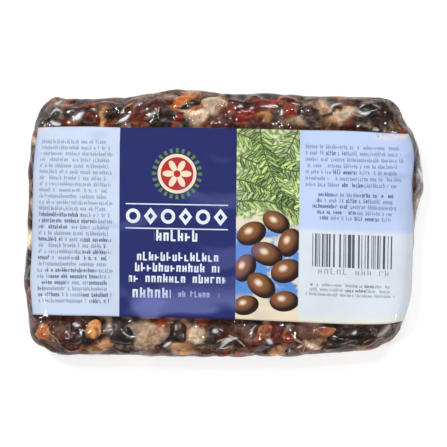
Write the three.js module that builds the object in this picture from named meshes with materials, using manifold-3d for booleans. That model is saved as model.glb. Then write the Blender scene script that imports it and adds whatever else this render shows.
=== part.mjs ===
// A 200 g block of pressed tamarind pulp with a paper label, drawn tight in clear film.
// Millimetres, +Z up. The block lies on its back with the label facing up and its long side
// along X. The origin is on the surface that it lies on, below the middle of the block.

import * as THREE from 'three';
import { mergeVertices } from 'three/addons/utils/BufferGeometryUtils.js';
import Module from 'manifold-3d';

// Outside size over the film
const length = 125;
const width = 84;
const thickness = 18;
const edgeSquareness = 2.4; // 2 is a plain round edge, more is squarer

// Plan of the wrapped block, anticlockwise from the middle of its right end
const outlinePoints = [
  [61.3, 6], [62.7, 14], [61.2, 25], [57.2, 32.6], [54.3, 37.6], [48, 40.1], [30, 40.5],
  [-8, 42], [-26, 40.3], [-44, 39.6], [-53, 40], [-58.5, 34.4], [-61.2, 20], [-61.9, 0],
  [-62.7, -18], [-61.4, -31], [-58.4, -38.2], [-53, -41.2], [-44, -41.8], [-10, -42], [20, -42],
  [42, -40.3], [52.6, -36.4], [57.4, -27], [59.6, -8],
];
const outlineFade = 6; // how quickly the plan's irregularity dies away towards the middle

// Layers, from the outside in
const filmWall = 0.4;
const clearance = 0.3;
const labelSheet = 0.4;
const labelLength = 120.6;
const labelWidth = 59.4;
const labelCentre = [0.3, 0];
const labelTurn = -1; // degrees
const labelColumns = 48;
const labelRows = 10;
const flatLength = 61; // half sizes of the flat that the label is pressed into
const flatWidth = 31;
const flatEnd = 61.4; // where that flat ends on the right, a little way down the rim

// Pulp relief
const valleyDepth = 3.8; // deepest hollow, below the outside of the film
const lumpHeight = 2.9;
const lumpRows = [70, 36, 2, -32, -62]; // degrees above the block's middle height
const lumpStep = 9.5;
const lumpGap = 4.5; // least distance between a lump of the rows and one that stands out
const lumpJitter = 14; // degrees
const tautSteps = 3; // rounds of pulling the film straight over the hollows

// Seam along the back
const seamY = 8;
const seamLength = 102;
const lapWidth = 10;

// Lumps that stand out: x, y, half length, half width, turn in degrees
const chiefLumps = [
  [-54.6, 34.3, 4.6, 3.6, 20], [-43.6, 38.1, 4, 3, 0], [-38.5, 34.3, 4.6, 3.6, 70],
  [-23.1, 37.4, 5.2, 4, 40], [-10.5, 38.8, 4, 3, 10], [-8, 33.3, 4, 3, 90],
  [-3, 37.7, 5, 3, 60], [3.9, 39, 3.6, 3, 0], [12.1, 38.7, 5.4, 3.4, 15],
  [20.3, 35.2, 4.6, 2.8, 80], [28.8, 37.7, 4, 3, 30], [30.3, 33.3, 3.4, 3, 0],
  [38.2, 33.3, 5.2, 3, -20], [48.6, 35.2, 8, 4.6, 10], [-53, -35.8, 4.4, 3.4, 40],
  [-37, -38, 4, 3, 0], [-21.5, -34.9, 6.4, 4.6, 20], [-8.6, -35.5, 4, 3.6, 0],
  [-2.7, -36.5, 4.8, 4, 30], [6.8, -32.8, 4.6, 3, 0], [16.2, -34.9, 4.4, 3.4, 60],
  [20.3, -38, 4, 3, 0], [29, -38.4, 4.6, 3, 10], [42.9, -35.8, 7, 4.4, -15],
  [-60.5, 17, 5, 3.4, 90], [-60.5, 3.5, 4.6, 3.4, 80], [-60.8, -12.9, 5, 3.4, 95],
  [-60.8, -25, 4.4, 3.4, 90], [60.8, 11.6, 5, 4, 90], [58.8, -14, 5, 3.6, 80],
];

// Hard seeds at the surface: x, y, side (1 for the upper half, -1 for the lower), turn in degrees
const seedPlaces = [
  [-46.4, 36.2, 1, 15], [1.4, 37.2, 1, 95], [26.2, 35.6, 1, 60], [-30.6, -35.4, 1, 100],
  [-46.7, -36.2, 1, 60], [-14, -34.6, 1, 88], [37, -37.4, 1, 5], [61, -2, -1, 90],
  [-18, 40.6, -1, 10], [33, 39.5, -1, 70], [-60, 8, -1, 90], [12, -40.3, -1, 20],
];
const seedHalf = [5, 3.5, 2.8];

// Broken pieces of pod shell at the surface, in the same order
const shellPlaces = [
  [-40.6, -33.2, 1, 80], [-57.6, -34.4, 1, 60], [32.2, -33.6, 1, 0], [13.2, -33.4, 1, 90],
  [-11.4, 36.4, 1, 120], [6.4, 33.8, 1, 20], [20.8, 36, 1, 75], [-60.6, -19, -1, 80],
  [60.4, 22, -1, 60], [-34, 40.2, -1, 0],
];
const shellHalf = [3.8, 3, 1.1];
const insetDepth = 1.1; // highest point of seeds and shell, below the outside of the film
const rootDepth = 4; // how far they reach into the pulp below their widest level

// Tough strings of the fruit across the pulp: x and y of each end, and the bow between them
const stringPlaces = [
  [-50.4, -33, -47.8, -39, 1], [-33, 34, -27.5, 41, -1], [-6, 34.6, 2, 41, 1.5],
  [21, -33.6, 27, -39.8, -1.5], [36, 35, 44.5, 33.4, 1.5], [0, -34, 7, -40, 1],
];
const stringRadius = 0.5;
const coverReach = 3.2; // how far past seeds and shell the film still rests on them
const stringReach = 4.4; // and how far to each side of a string

const columns = 34;
// Places of the grid rows from the middle to the long edge, crowded beside the label
const rowStations = [0, 0.125, 0.25, 0.375, 0.5, 0.62, 0.738, 0.805, 0.87, 0.935, 1];
const layersHigh = 6;

const wasm = await Module();
wasm.setup();

const half = new THREE.Vector3(length / 2, width / 2, thickness / 2);
const edgeRadius = half.z;

// A repeatable draw between 0 and 1 for each key
function draw(key) {
  const value = Math.sin(key * 12.9898 + 4.1414) * 43758.5453;
  return value - Math.floor(value);
}

// A repeatable draw between two limits
function drawBetween(low, high, key) {
  return low + (high - low) * draw(key);
}

// A point of the plain slab and its outward direction: a box point is pulled onto a rounded rim
// round a flat rectangle, by its distance from that rectangle in a squarish measure
function slabPoint(box) {
  const core = new THREE.Vector3(
    THREE.MathUtils.clamp(box.x, edgeRadius - half.x, half.x - edgeRadius),
    THREE.MathUtils.clamp(box.y, edgeRadius - half.y, half.y - edgeRadius),
    0,
  );
  const away = box.clone().sub(core);
  const power = (value) => Math.abs(value) ** edgeSquareness;
  const reach = (power(away.x) + power(away.y) + power(away.z)) ** (1 / edgeSquareness);
  away.multiplyScalar(edgeRadius / reach);
  const slope = (value) => Math.sign(value) * Math.abs(value) ** (edgeSquareness - 1);
  const outward = new THREE.Vector3(slope(away.x), slope(away.y), slope(away.z)).normalize();
  return { place: core.add(away), outward };
}

// The slab's point above or below a place in plan
function slabAt(x, y, side) {
  const power = (value) => Math.abs(value) ** edgeSquareness;
  const overX = Math.max(Math.abs(x) - half.x + edgeRadius, 0);
  const overY = Math.max(Math.abs(y) - half.y + edgeRadius, 0);
  const left = Math.max(power(edgeRadius) - power(overX) - power(overY), 0.01);
  return slabPoint(new THREE.Vector3(x, y, side * left ** (1 / edgeSquareness)));
}

// Distance from the middle to a closed plan, looked up by direction
function reachTable(points) {
  const table = points.map((p) => ({ angle: Math.atan2(p.y, p.x), reach: Math.hypot(p.x, p.y) }));
  table.sort((one, other) => one.angle - other.angle);
  const first = table[0];
  const last = table[table.length - 1];
  table.unshift({ angle: last.angle - 2 * Math.PI, reach: last.reach });
  table.push({ angle: first.angle + 2 * Math.PI, reach: first.reach });
  return (angle) => {
    const after = table.findIndex((entry) => entry.angle > angle);
    const [low, high] = [table[after - 1], table[after]];
    const part = (angle - low.angle) / (high.angle - low.angle);
    return THREE.MathUtils.lerp(low.reach, high.reach, part);
  };
}

const outlineCurve = new THREE.CatmullRomCurve3(
  outlinePoints.map(([x, y]) => new THREE.Vector3(x, y, 0)), true, 'catmullrom', 0.5);
const outlineReach = reachTable(outlineCurve.getPoints(440).slice(1));
const plainReach = reachTable(plainOutline(110));

function plainOutline(stepsPerSide) {
  const points = [];
  for (let step = 0; step < stepsPerSide; step += 1) {
    const along = -1 + (2 * step) / stepsPerSide;
    points.push(
      slabPoint(new THREE.Vector3(along * half.x, half.y, 0)).place,
      slabPoint(new THREE.Vector3(-along * half.x, -half.y, 0)).place,
      slabPoint(new THREE.Vector3(half.x, -along * half.y, 0)).place,
      slabPoint(new THREE.Vector3(-half.x, along * half.y, 0)).place,
    );
  }
  return points;
}

// The plain slab's plan is stretched to the drawn outline, most at the rim
function toOutline(point) {
  const angle = Math.atan2(point.y, point.x);
  const plain = plainReach(angle);
  const outness = Math.hypot(point.x, point.y) / plain;
  const stretch = 1 + (outlineReach(angle) / plain - 1) * outness ** outlineFade;
  return new THREE.Vector3(point.x * stretch, point.y * stretch, point.z);
}

// Closed grid of a box, with columns and rows crowded to where the film shows the pulp
function slabGrid() {
  const rows = 2 * (rowStations.length - 1);
  const box = new THREE.BoxGeometry(2, 2, 2, columns, rows, layersHigh);
  box.deleteAttribute('normal');
  box.deleteAttribute('uv');
  const merged = mergeVertices(box);
  const corners = merged.getAttribute('position');
  const spots = [];
  for (let index = 0; index < corners.count; index += 1) {
    const unit = new THREE.Vector3().fromBufferAttribute(corners, index);
    const column = Math.round(Math.abs(unit.x) * columns / 2);
    const across = column === columns / 2 ? half.x : (flatLength * column) / (columns / 2 - 1);
    const row = Math.round(Math.abs(unit.y) * rows / 2);
    const boxPoint = new THREE.Vector3(
      Math.sign(unit.x) * across,
      Math.sign(unit.y) * rowStations[row] * half.y,
      unit.z * half.z,
    );
    spots.push(slabPoint(boxPoint));
  }
  return { spots, triangles: merged.index.array };
}

const grid = slabGrid();

// Lumps all round the rim, in jittered rows, kept off the lumps that stand out
function allLumps() {
  const lumps = chiefLumps.map(([x, y, long, short, turn]) => (
    lump(slabAt(x, y, 1), long, short, turn, lumpHeight)));
  const chief = lumps.length;
  const core = new THREE.Vector2(half.x - edgeRadius, half.y - edgeRadius);
  const perimeter = 4 * (core.x + core.y) + 2 * Math.PI * edgeRadius;
  const count = Math.round(perimeter / lumpStep);
  lumpRows.forEach((rise, row) => {
    for (let step = 0; step < count; step += 1) {
      const key = 100 * row + step;
      const turnAway = 2 * Math.PI * (step + 0.5 * (row % 2) + 0.5 * (draw(key) - 0.5)) / count;
      const lift = THREE.MathUtils.degToRad(rise + lumpJitter * (draw(key + 0.3) - 0.5));
      const spot = rimSpot(turnAway, lift);
      const near = lumps.slice(0, chief).some((one) => one.place.distanceTo(spot.place) < lumpGap);
      if (near) {
        continue;
      }
      const long = drawBetween(3.6, 5.8, key + 0.5);
      const short = drawBetween(2.6, 3.9, key + 0.7);
      const height = lumpHeight * drawBetween(0.55, 0.95, key + 0.1);
      lumps.push(lump(spot, long, short, 180 * draw(key + 0.9), height));
    }
  });
  return lumps;
}

// A rim spot from its direction round the block, by equal steps of the square's edge, and its lift
function rimSpot(turnAway, lift) {
  const round = new THREE.Vector2(Math.cos(turnAway), Math.sin(turnAway));
  const square = round.clone().divideScalar(Math.max(Math.abs(round.x), Math.abs(round.y)));
  const onCore = new THREE.Vector3(
    square.x * (half.x - edgeRadius), square.y * (half.y - edgeRadius), 0);
  const away = new THREE.Vector3(
    Math.cos(lift) * (Math.abs(square.x) === 1 ? square.x : 0),
    Math.cos(lift) * (Math.abs(square.y) === 1 ? square.y : 0),
    Math.sin(lift),
  );
  return slabPoint(onCore.add(away.multiplyScalar(edgeRadius)));
}

function lump(spot, long, short, turn, height) {
  return { place: spot.place, along: tangent(spot, turn), long, short, height };
}

// Direction in the surface, turned from the X axis about the outward direction
function tangent(spot, turn) {
  const across = new THREE.Vector3(1, 0, 0);
  if (Math.abs(spot.outward.x) > 0.8) {
    across.set(0, 1, 0);
  }
  across.addScaledVector(spot.outward, -across.dot(spot.outward)).normalize();
  return across.applyAxisAngle(spot.outward, THREE.MathUtils.degToRad(turn));
}

// Height of the lumps at a place: the highest of the elliptical domes that reach it
function lumpRelief(place, lumps) {
  let height = 0;
  const offset = new THREE.Vector3();
  for (const one of lumps) {
    offset.subVectors(place, one.place);
    const along = offset.dot(one.along);
    const across = Math.max(offset.lengthSq() - along * along, 0);
    const fill = 1 - (along / one.long) ** 2 - across / one.short ** 2;
    if (fill > 0) {
      height = Math.max(height, one.height * Math.sqrt(fill));
    }
  }
  return height;
}

function underLabel(spot) {
  const { x, y } = spot.place;
  const alongside = x > -flatLength - 0.1 && x < flatEnd;
  return alongside && Math.abs(y) < flatWidth + 0.1 && spot.outward.z > 0.2;
}

function onBack(spot) {
  return spot.outward.z < -0.97;
}

// Depth of the pulp below the outside of the film, at each grid point
function pulpDepths(lumps) {
  const skin = filmWall + clearance;
  return grid.spots.map((spot) => {
    if (underLabel(spot)) {
      return skin + labelSheet + clearance;
    }
    if (onBack(spot)) {
      return skin;
    }
    return Math.max(valleyDepth - lumpRelief(spot.place, lumps), skin);
  });
}

// Depth of the film's outside: it touches the lumps, seeds, shell and strings, and is pulled
// straight between them by letting each free point rise to the mean of its neighbours
function filmDepths(pulp, bumps) {
  const stop = pulp.map((depth, index) => {
    const spot = grid.spots[index];
    if (underLabel(spot) || onBack(spot)) {
      return 0;
    }
    let least = depth - filmWall - clearance;
    for (const bump of bumps) {
      if (bump.place.distanceTo(spot.place) < bump.reach) {
        least = Math.min(least, bump.depth - filmWall - clearance);
      }
    }
    return Math.max(least, 0);
  });
  const neighbours = stop.map(() => new Set());
  for (let corner = 0; corner < grid.triangles.length; corner += 3) {
    const [a, b, c] = grid.triangles.slice(corner, corner + 3);
    neighbours[a].add(b).add(c);
    neighbours[b].add(a).add(c);
    neighbours[c].add(a).add(b);
  }
  let depths = stop;
  for (let step = 0; step < tautSteps; step += 1) {
    depths = depths.map((depth, index) => {
      const near = [...neighbours[index]];
      const mean = near.reduce((sum, one) => sum + depths[one], 0) / near.length;
      return Math.min(stop[index], mean);
    });
  }
  return depths;
}

// Closed surface at the given depth below the outside of the plain film, as a solid
function gridSolid(depths) {
  const positions = new Float32Array(3 * grid.spots.length);
  grid.spots.forEach((spot, index) => {
    const sunk = spot.place.clone().addScaledVector(spot.outward, -depths[index]);
    const point = toOutline(sunk);
    point.z += half.z;
    point.toArray(positions, 3 * index);
  });
  const triVerts = new Uint32Array(grid.triangles);
  return new wasm.Manifold(new wasm.Mesh({ numProp: 3, vertProperties: positions, triVerts }));
}

function toSolid(geometry) {
  const bare = geometry.clone();
  bare.deleteAttribute('normal');
  bare.deleteAttribute('uv');
  const merged = mergeVertices(bare, 1e-4);
  const vertProperties = new Float32Array(merged.getAttribute('position').array);
  const triVerts = new Uint32Array(merged.index.array);
  return new wasm.Manifold(new wasm.Mesh({ numProp: 3, vertProperties, triVerts }));
}

function toGeometry(solid) {
  const mesh = solid.getMesh();
  const geometry = new THREE.BufferGeometry();
  geometry.setAttribute('position', new THREE.BufferAttribute(mesh.vertProperties, 3));
  geometry.setIndex(new THREE.BufferAttribute(mesh.triVerts, 1));
  return geometry;
}

// An ellipsoid laid along the curved surface, its top at the inset depth, its root drawn deep
function inset([x, y, side, turn], [long, wide, thick], around, down) {
  const spot = slabAt(x, y, side);
  const along = tangent(spot, turn);
  const across = new THREE.Vector3().crossVectors(spot.outward, along);
  const body = new THREE.SphereGeometry(1, around, down).rotateX(Math.PI / 2);
  const corners = body.getAttribute('position');
  for (let index = 0; index < corners.count; index += 1) {
    const unit = new THREE.Vector3().fromBufferAttribute(corners, index);
    const over = spot.place.clone()
      .addScaledVector(along, long * unit.x)
      .addScaledVector(across, wide * unit.y);
    const under = slabPoint(over);
    const depth = insetDepth + thick - unit.z * (unit.z < 0 ? rootDepth : thick);
    const point = toOutline(under.place.addScaledVector(under.outward, -depth));
    corners.setXYZ(index, point.x, point.y, point.z + half.z);
  }
  const bump = { place: spot.place, reach: Math.max(long, wide) + coverReach, depth: insetDepth };
  return { body, bump };
}

// A string bowed across the pulp, half sunk in it, with both ends dipping under the surface
function pulpString([startX, startY, endX, endY, bow], lumps) {
  const steps = 6;
  const bumps = [];
  const points = [];
  for (let step = 0; step <= steps; step += 1) {
    const part = step / steps;
    const swing = bow * Math.sin(Math.PI * part);
    const spot = slabAt(
      THREE.MathUtils.lerp(startX, endX, part) + swing,
      THREE.MathUtils.lerp(startY, endY, part),
      1,
    );
    const atEnd = step === 0 || step === steps;
    const surface = Math.max(valleyDepth - lumpRelief(spot.place, lumps), insetDepth);
    const depth = surface + stringRadius * (atEnd ? 3 : 0.6);
    const sunk = toOutline(spot.place.clone().addScaledVector(spot.outward, -depth));
    points.push(sunk.setZ(sunk.z + half.z));
    bumps.push({ place: spot.place, reach: stringReach, depth: surface - 0.4 * stringRadius });
  }
  const section = new THREE.Shape(
    new THREE.EllipseCurve(0, 0, stringRadius, stringRadius).getPoints(5).slice(1));
  const path = new THREE.CatmullRomCurve3(points);
  const body = new THREE.ExtrudeGeometry(section, { steps: 8, extrudePath: path });
  return { body, bumps };
}

function boxSolid(low, high) {
  const size = new THREE.Vector3().subVectors(high, low);
  const box = new THREE.BoxGeometry(size.x, size.y, size.z);
  box.translate(...low.clone().add(high).multiplyScalar(0.5).toArray());
  return toSolid(box);
}

// Shallow channel that the lap has pressed into the back of the pulp
function seamChannel() {
  const back = filmWall + clearance;
  return boxSolid(
    new THREE.Vector3(-seamLength / 2 - 1, seamY - lapWidth - 0.8, back - 1),
    new THREE.Vector3(seamLength / 2 + 1, seamY + 3, back + filmWall + clearance),
  );
}

// Pulp with its seeds, shell pieces and strings, which are all stuck fast in it
function pulpBlock(depths, stuck) {
  let solid = gridSolid(depths);
  for (const piece of stuck) {
    solid = solid.add(toSolid(piece));
  }
  return toGeometry(solid.subtract(seamChannel()));
}

// Film: outer shape less the space inside, open along a lap seam on the back. The edge that
// lies inside runs on past the slit, a clearance above the outer edge.
function filmWrap(depths) {
  const outer = gridSolid(depths);
  const space = gridSolid(depths.map((depth) => depth + filmWall));
  const slit = boxSolid(
    new THREE.Vector3(-seamLength / 2, seamY, -1),
    new THREE.Vector3(seamLength / 2, seamY + clearance, filmWall + 0.2),
  );
  const lapFloor = filmWall + clearance;
  const lap = boxSolid(
    new THREE.Vector3(-seamLength / 2, seamY - lapWidth, lapFloor),
    new THREE.Vector3(seamLength / 2, seamY + 1.6, lapFloor + filmWall),
  );
  const root = boxSolid(
    new THREE.Vector3(-seamLength / 2, seamY + clearance, filmWall / 2),
    new THREE.Vector3(seamLength / 2, seamY + 1.6, lapFloor + filmWall),
  );
  return toGeometry(outer.subtract(space).subtract(slit).add(lap.add(root)));
}

// Label: a sheet that follows the slab's top, its two ends curving down with the rim
function labelGeometry() {
  const sheet = new THREE.BoxGeometry(
    labelLength, labelWidth, labelSheet, labelColumns, labelRows, 1);
  const corners = sheet.getAttribute('position');
  const turn = THREE.MathUtils.degToRad(labelTurn);
  for (let index = 0; index < corners.count; index += 1) {
    const flat = new THREE.Vector3().fromBufferAttribute(corners, index);
    const x = labelCentre[0] + flat.x * Math.cos(turn) - flat.y * Math.sin(turn);
    const y = labelCentre[1] + flat.x * Math.sin(turn) + flat.y * Math.cos(turn);
    const spot = slabAt(x, y, 1);
    const depth = filmWall + clearance + labelSheet / 2 - flat.z;
    const point = toOutline(spot.place.clone().addScaledVector(spot.outward, -depth));
    corners.setXYZ(index, point.x, point.y, point.z + half.z);
  }
  sheet.deleteAttribute('normal');
  sheet.deleteAttribute('uv');
  return mergeVertices(sheet, 1e-4);
}

function named(name, geometry, look) {
  geometry.computeVertexNormals();
  const mesh = new THREE.Mesh(geometry, new THREE.MeshStandardMaterial(look));
  mesh.name = name;
  return mesh;
}

function wrappedBlock() {
  const lumps = allLumps();
  const seeds = seedPlaces.map((place) => inset(place, seedHalf, 10, 6));
  const shell = shellPlaces.map((place) => inset(place, shellHalf, 7, 4));
  const strings = stringPlaces.map((place) => pulpString(place, lumps));
  const stuck = [...seeds, ...shell, ...strings].map((piece) => piece.body);
  const bumps = [
    ...[...seeds, ...shell].map((piece) => piece.bump),
    ...strings.flatMap((piece) => piece.bumps),
  ];
  const pulp = pulpDepths(lumps);
  const block = new THREE.Group();
  block.add(
    named('pulp_block', pulpBlock(pulp, stuck), { color: 0x4a2416, roughness: 0.45 }),
    named('label', labelGeometry(), { color: 0xd6e2ee, roughness: 0.6 }),
    named('film_wrap', filmWrap(filmDepths(pulp, bumps)), {
      color: 0xe8ecee, roughness: 0.12, transparent: true, opacity: 0.3,
    }),
  );
  return block;
}

export default wrappedBlock();
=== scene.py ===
import math

import bpy
import numpy as np
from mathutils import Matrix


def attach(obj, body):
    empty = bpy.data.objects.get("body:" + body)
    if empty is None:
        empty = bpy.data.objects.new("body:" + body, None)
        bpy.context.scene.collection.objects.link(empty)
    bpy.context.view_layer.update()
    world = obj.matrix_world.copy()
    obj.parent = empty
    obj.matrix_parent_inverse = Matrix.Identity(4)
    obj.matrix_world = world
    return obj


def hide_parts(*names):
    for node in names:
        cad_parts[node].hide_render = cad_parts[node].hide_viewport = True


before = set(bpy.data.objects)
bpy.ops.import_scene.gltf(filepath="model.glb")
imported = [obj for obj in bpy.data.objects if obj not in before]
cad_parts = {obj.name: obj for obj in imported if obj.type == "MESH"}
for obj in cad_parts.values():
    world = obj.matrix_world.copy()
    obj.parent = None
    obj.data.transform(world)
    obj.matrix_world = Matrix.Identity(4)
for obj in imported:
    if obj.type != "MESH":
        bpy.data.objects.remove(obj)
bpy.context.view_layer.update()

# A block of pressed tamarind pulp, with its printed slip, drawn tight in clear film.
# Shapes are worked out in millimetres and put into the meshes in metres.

metre = 0.001  # one millimetre

block = {
    "length": 125.0,  # over the film
    "width": 84.0,
    "thickness": 18.0,
    "squareness": 2.4,  # 2 is a plain round edge, more is squarer
    "outline": [
        (60.3, 1), (61.7, 6.8), (62.7, 10.5), (62.8, 14), (62.3, 18.5), (61.7, 22.3),
        (60.6, 25.8), (59.2, 28.8), (57.6, 31), (56.5, 33), (55.6, 35.2), (54.3, 37.3),
        (51.6, 39.5), (47, 40.1), (39, 40), (30, 40.3), (20, 40.7), (11, 41.2),
        (2, 41.2), (-8, 42.4), (-17, 42.5), (-26, 40.6), (-35, 39.6), (-44, 39.4),
        (-49.5, 39.2), (-53, 40), (-56, 37.9), (-58.5, 33.8), (-60.3, 26.5), (-61.4, 18),
        (-61.6, 9), (-61.8, 0), (-62.1, -9), (-62.8, -18), (-62.2, -25), (-61.4, -31),
        (-60.8, -35.5), (-58.8, -38), (-56.3, -39.2), (-54, -41.1), (-47, -41.7), (-37, -41.8),
        (-27, -41.9), (-17, -42.1), (-7, -42.2), (3, -42.2), (13, -42.2), (23, -42),
        (31, -41.4), (39, -40.8), (46.8, -39.5), (50.3, -38), (53.3, -36), (55.4, -32.8),
        (57.2, -28), (58.7, -22.5), (59.2, -15), (59.6, -7),
    ],
    "outlineGrowth": 1.006,
    "outlineFade": 6.0,  # how quickly the outline's irregularity dies away inwards
    "meshStep": 0.56,  # spacing of the fine grid
}

half = np.array([block["length"], block["width"], block["thickness"]]) / 2
rim = half[2]
flatHalf = np.array([half[0] - rim, half[1] - rim, 0.0])


# Repeatable noise and small sums


def cellDraw(cells, seed):
    # a repeatable value from 0 to 1 for each whole-number cell
    mixed = cells[..., 0] * 73856093 ^ cells[..., 1] * 19349663 ^ cells[..., 2] * 83492791
    mixed = (mixed ^ seed * 2654435761) & 0xFFFFFFFF
    for turn in range(2):
        mixed = ((mixed ^ mixed >> 16) * 0x45D9F3B) & 0xFFFFFFFF
    return (mixed ^ mixed >> 16) / 4294967295.0


def softNoise(points, size, seed):
    # the eight cell corners round a point, blended smoothly: from -1 to 1
    scaled = points / size
    low = np.floor(scaled).astype(np.int64)
    part = scaled - low
    part = part * part * (3 - 2 * part)
    total = np.zeros(len(points))
    for corner in np.ndindex(2, 2, 2):
        corner = np.array(corner)
        weight = np.where(corner == 1, part, 1 - part).prod(axis=1)
        total += weight * cellDraw(low + corner, seed)
    return 2 * total - 1


def layeredNoise(points, size, seed, layers=3):
    # soft noise with each finer layer at half the size and half the strength
    parts = (softNoise(points, size / 2**layer, seed + layer) / 2**layer for layer in range(layers))
    return sum(parts) / (2 - 2 ** (1 - layers))


def vectorNoise(points, size, seed, layers=3):
    # three such noises, to move points with
    return np.stack([layeredNoise(points, size, seed + axis, layers) for axis in range(3)], axis=1)


def nearestCells(points, size, seed):
    # one seed point in each cell: the distances to the nearest and the next, and the nearest's draw
    scaled = points / size
    low = np.floor(scaled).astype(np.int64)
    first = np.full(len(points), 9.0)
    second = np.full(len(points), 9.0)
    pick = np.zeros(len(points))
    for step in np.ndindex(3, 3, 3):
        cell = low + np.array(step) - 1
        spot = cell + np.stack([cellDraw(cell, seed + axis) for axis in range(3)], axis=1)
        distance = np.linalg.norm(scaled - spot, axis=1)
        nearer = distance < first
        second = np.where(nearer, first, np.minimum(second, distance))
        pick = np.where(nearer, cellDraw(cell, seed + 7), pick)
        first = np.where(nearer, distance, first)
    return first, second, pick


def ramp(value, low, high):
    # a smooth step from 0 at low to 1 at high
    part = np.clip((value - low) / (high - low), 0, 1)
    return part * part * (3 - 2 * part)


def blendTo(colours, other, share):
    # each colour moves towards the other by its share
    return colours + (np.asarray(other) - colours) * np.asarray(share)[:, None]


def linearColour(red, green, blue):
    # screen values of 0 to 255 as light values
    values = np.array([red, green, blue]) / 255
    return np.where(values <= 0.04045, values / 12.92, ((values + 0.055) / 1.055) ** 2.4)


def draw(key):
    # the repeatable draw that places the lumps
    value = np.sin(key * 12.9898 + 4.1414) * 43758.5453
    return value - np.floor(value)


# The block's surface


def slabPoint(boxPoints):
    # a box point is pulled onto a rounded rim round a flat rectangle, by its distance from that
    # rectangle in a squarish measure; its outward direction is that measure's slope
    middle = np.clip(boxPoints, -flatHalf, flatHalf)
    away = boxPoints - middle
    power = block["squareness"]
    reach = (np.abs(away) ** power).sum(axis=-1, keepdims=True) ** (1 / power)
    away = away * (rim / np.maximum(reach, 1e-9))
    outward = np.sign(away) * np.abs(away) ** (power - 1)
    outward = outward / np.linalg.norm(outward, axis=-1, keepdims=True)
    return middle + away, outward


def slabAt(x, y, side):
    # the slab's point above (side 1) or below (side -1) a place in plan
    power = block["squareness"]
    over = np.maximum(np.abs(np.stack([x, y], axis=-1)) - flatHalf[:2], 0)
    left = np.maximum(rim**power - (over**power).sum(axis=-1), 0.01)
    return slabPoint(np.stack([x, y, side * left ** (1 / power)], axis=-1))


def closedCurve(points, steps):
    # a smooth closed curve through the points: each stretch is the cubic set by four neighbours
    points = np.array(points, float)
    t = np.linspace(0, 1, steps, endpoint=False)[:, None]
    before, after, beyond = (np.roll(points, shift, axis=0) for shift in (1, -1, -2))
    curve = [
        0.5 * (2 * b + (c - a) * t + (2 * a - 5 * b + 4 * c - d) * t**2 + (3 * b - a - 3 * c + d) * t**3)
        for a, b, c, d in zip(before, points, after, beyond)
    ]
    return np.concatenate(curve)


def reachTable(points):
    # how far an outline is from the middle in each direction
    angles = np.arctan2(points[:, 1], points[:, 0])
    order = np.argsort(angles)
    return angles[order], np.linalg.norm(points[order, :2], axis=1)


def squareSpot(turn):
    # where a square round the middle is met in each direction
    circle = np.stack([np.cos(turn), np.sin(turn)], axis=-1)
    return circle / np.abs(circle).max(axis=-1, keepdims=True)


def withColumn(rows, last):
    # the same rows with one more number each
    return np.concatenate([rows, np.broadcast_to(last, (len(rows), 1))], axis=1)


def plainOutline(steps):
    # the slab's widest outline, before it is stretched
    turn = np.linspace(0, 2 * math.pi, steps, endpoint=False)
    return slabPoint(withColumn(squareSpot(turn) * half[:2], 0.0))[0]


outlineReach = reachTable(closedCurve(block["outline"], 24))
plainReach = reachTable(plainOutline(1440))


def planStretch(plan):
    # the plain slab's plan is stretched to the drawn outline, most at the rim
    angle = np.arctan2(plan[..., 1], plan[..., 0])
    plain = np.interp(angle, *plainReach, period=2 * math.pi)
    drawn = block["outlineGrowth"] * np.interp(angle, *outlineReach, period=2 * math.pi)
    outness = np.linalg.norm(plan, axis=-1) / plain
    return 1 + (drawn / plain - 1) * outness ** block["outlineFade"]


def toOutline(points):
    # the stretch is in plan alone
    stretch = planStretch(points[..., :2])
    return points * np.stack([stretch, stretch, np.ones_like(stretch)], axis=-1)


def placed(points):
    # from the slab's own centre to the block as it lies
    moved = toOutline(points)
    moved[..., 2] += half[2]
    return moved


def sunk(places, outward, depth):
    # places moved inwards by their depths, on the block as it lies
    return placed(places - outward * np.asarray(depth)[..., None])


def tangents(outward, turn):
    # two directions in the surface, the first turned from the X axis about the outward one
    across = np.where(np.abs(outward[..., :1]) > 0.8, np.array([0.0, 1, 0]), np.array([1.0, 0, 0]))
    across = across - outward * (across * outward).sum(axis=-1, keepdims=True)
    across = across / np.linalg.norm(across, axis=-1, keepdims=True)
    other = np.cross(outward, across)
    angle = np.radians(turn)[..., None]
    return (
        across * np.cos(angle) + other * np.sin(angle),
        other * np.cos(angle) - across * np.sin(angle),
    )


def boxGrid(xs, ys, zs):
    # every lattice point on the six sides of a box once, and four-cornered faces turned outwards
    shape = (len(xs), len(ys), len(zs))
    onSide = np.zeros(shape, bool)
    onSide[[0, -1]] = onSide[:, [0, -1]] = onSide[:, :, [0, -1]] = True
    index = np.full(shape, -1)
    index[onSide] = np.arange(onSide.sum())
    i, j, k = np.nonzero(onSide)
    points = np.stack([xs[i], ys[j], zs[k]], axis=1)
    sides = [
        (index[:, :, -1], False), (index[:, :, 0], True), (index[-1], False),
        (index[0], True), (index[:, 0], False), (index[:, -1], True),
    ]
    return points, np.concatenate([sheetFaces(side, flip) for side, flip in sides])


def sheetFaces(index, flip):
    # the four-cornered faces of a grid of point numbers
    faces = np.stack([index[:-1, :-1], index[1:, :-1], index[1:, 1:], index[:-1, 1:]], axis=-1)
    faces = faces.reshape(-1, 4)
    return faces[:, ::-1] if flip else faces


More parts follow.
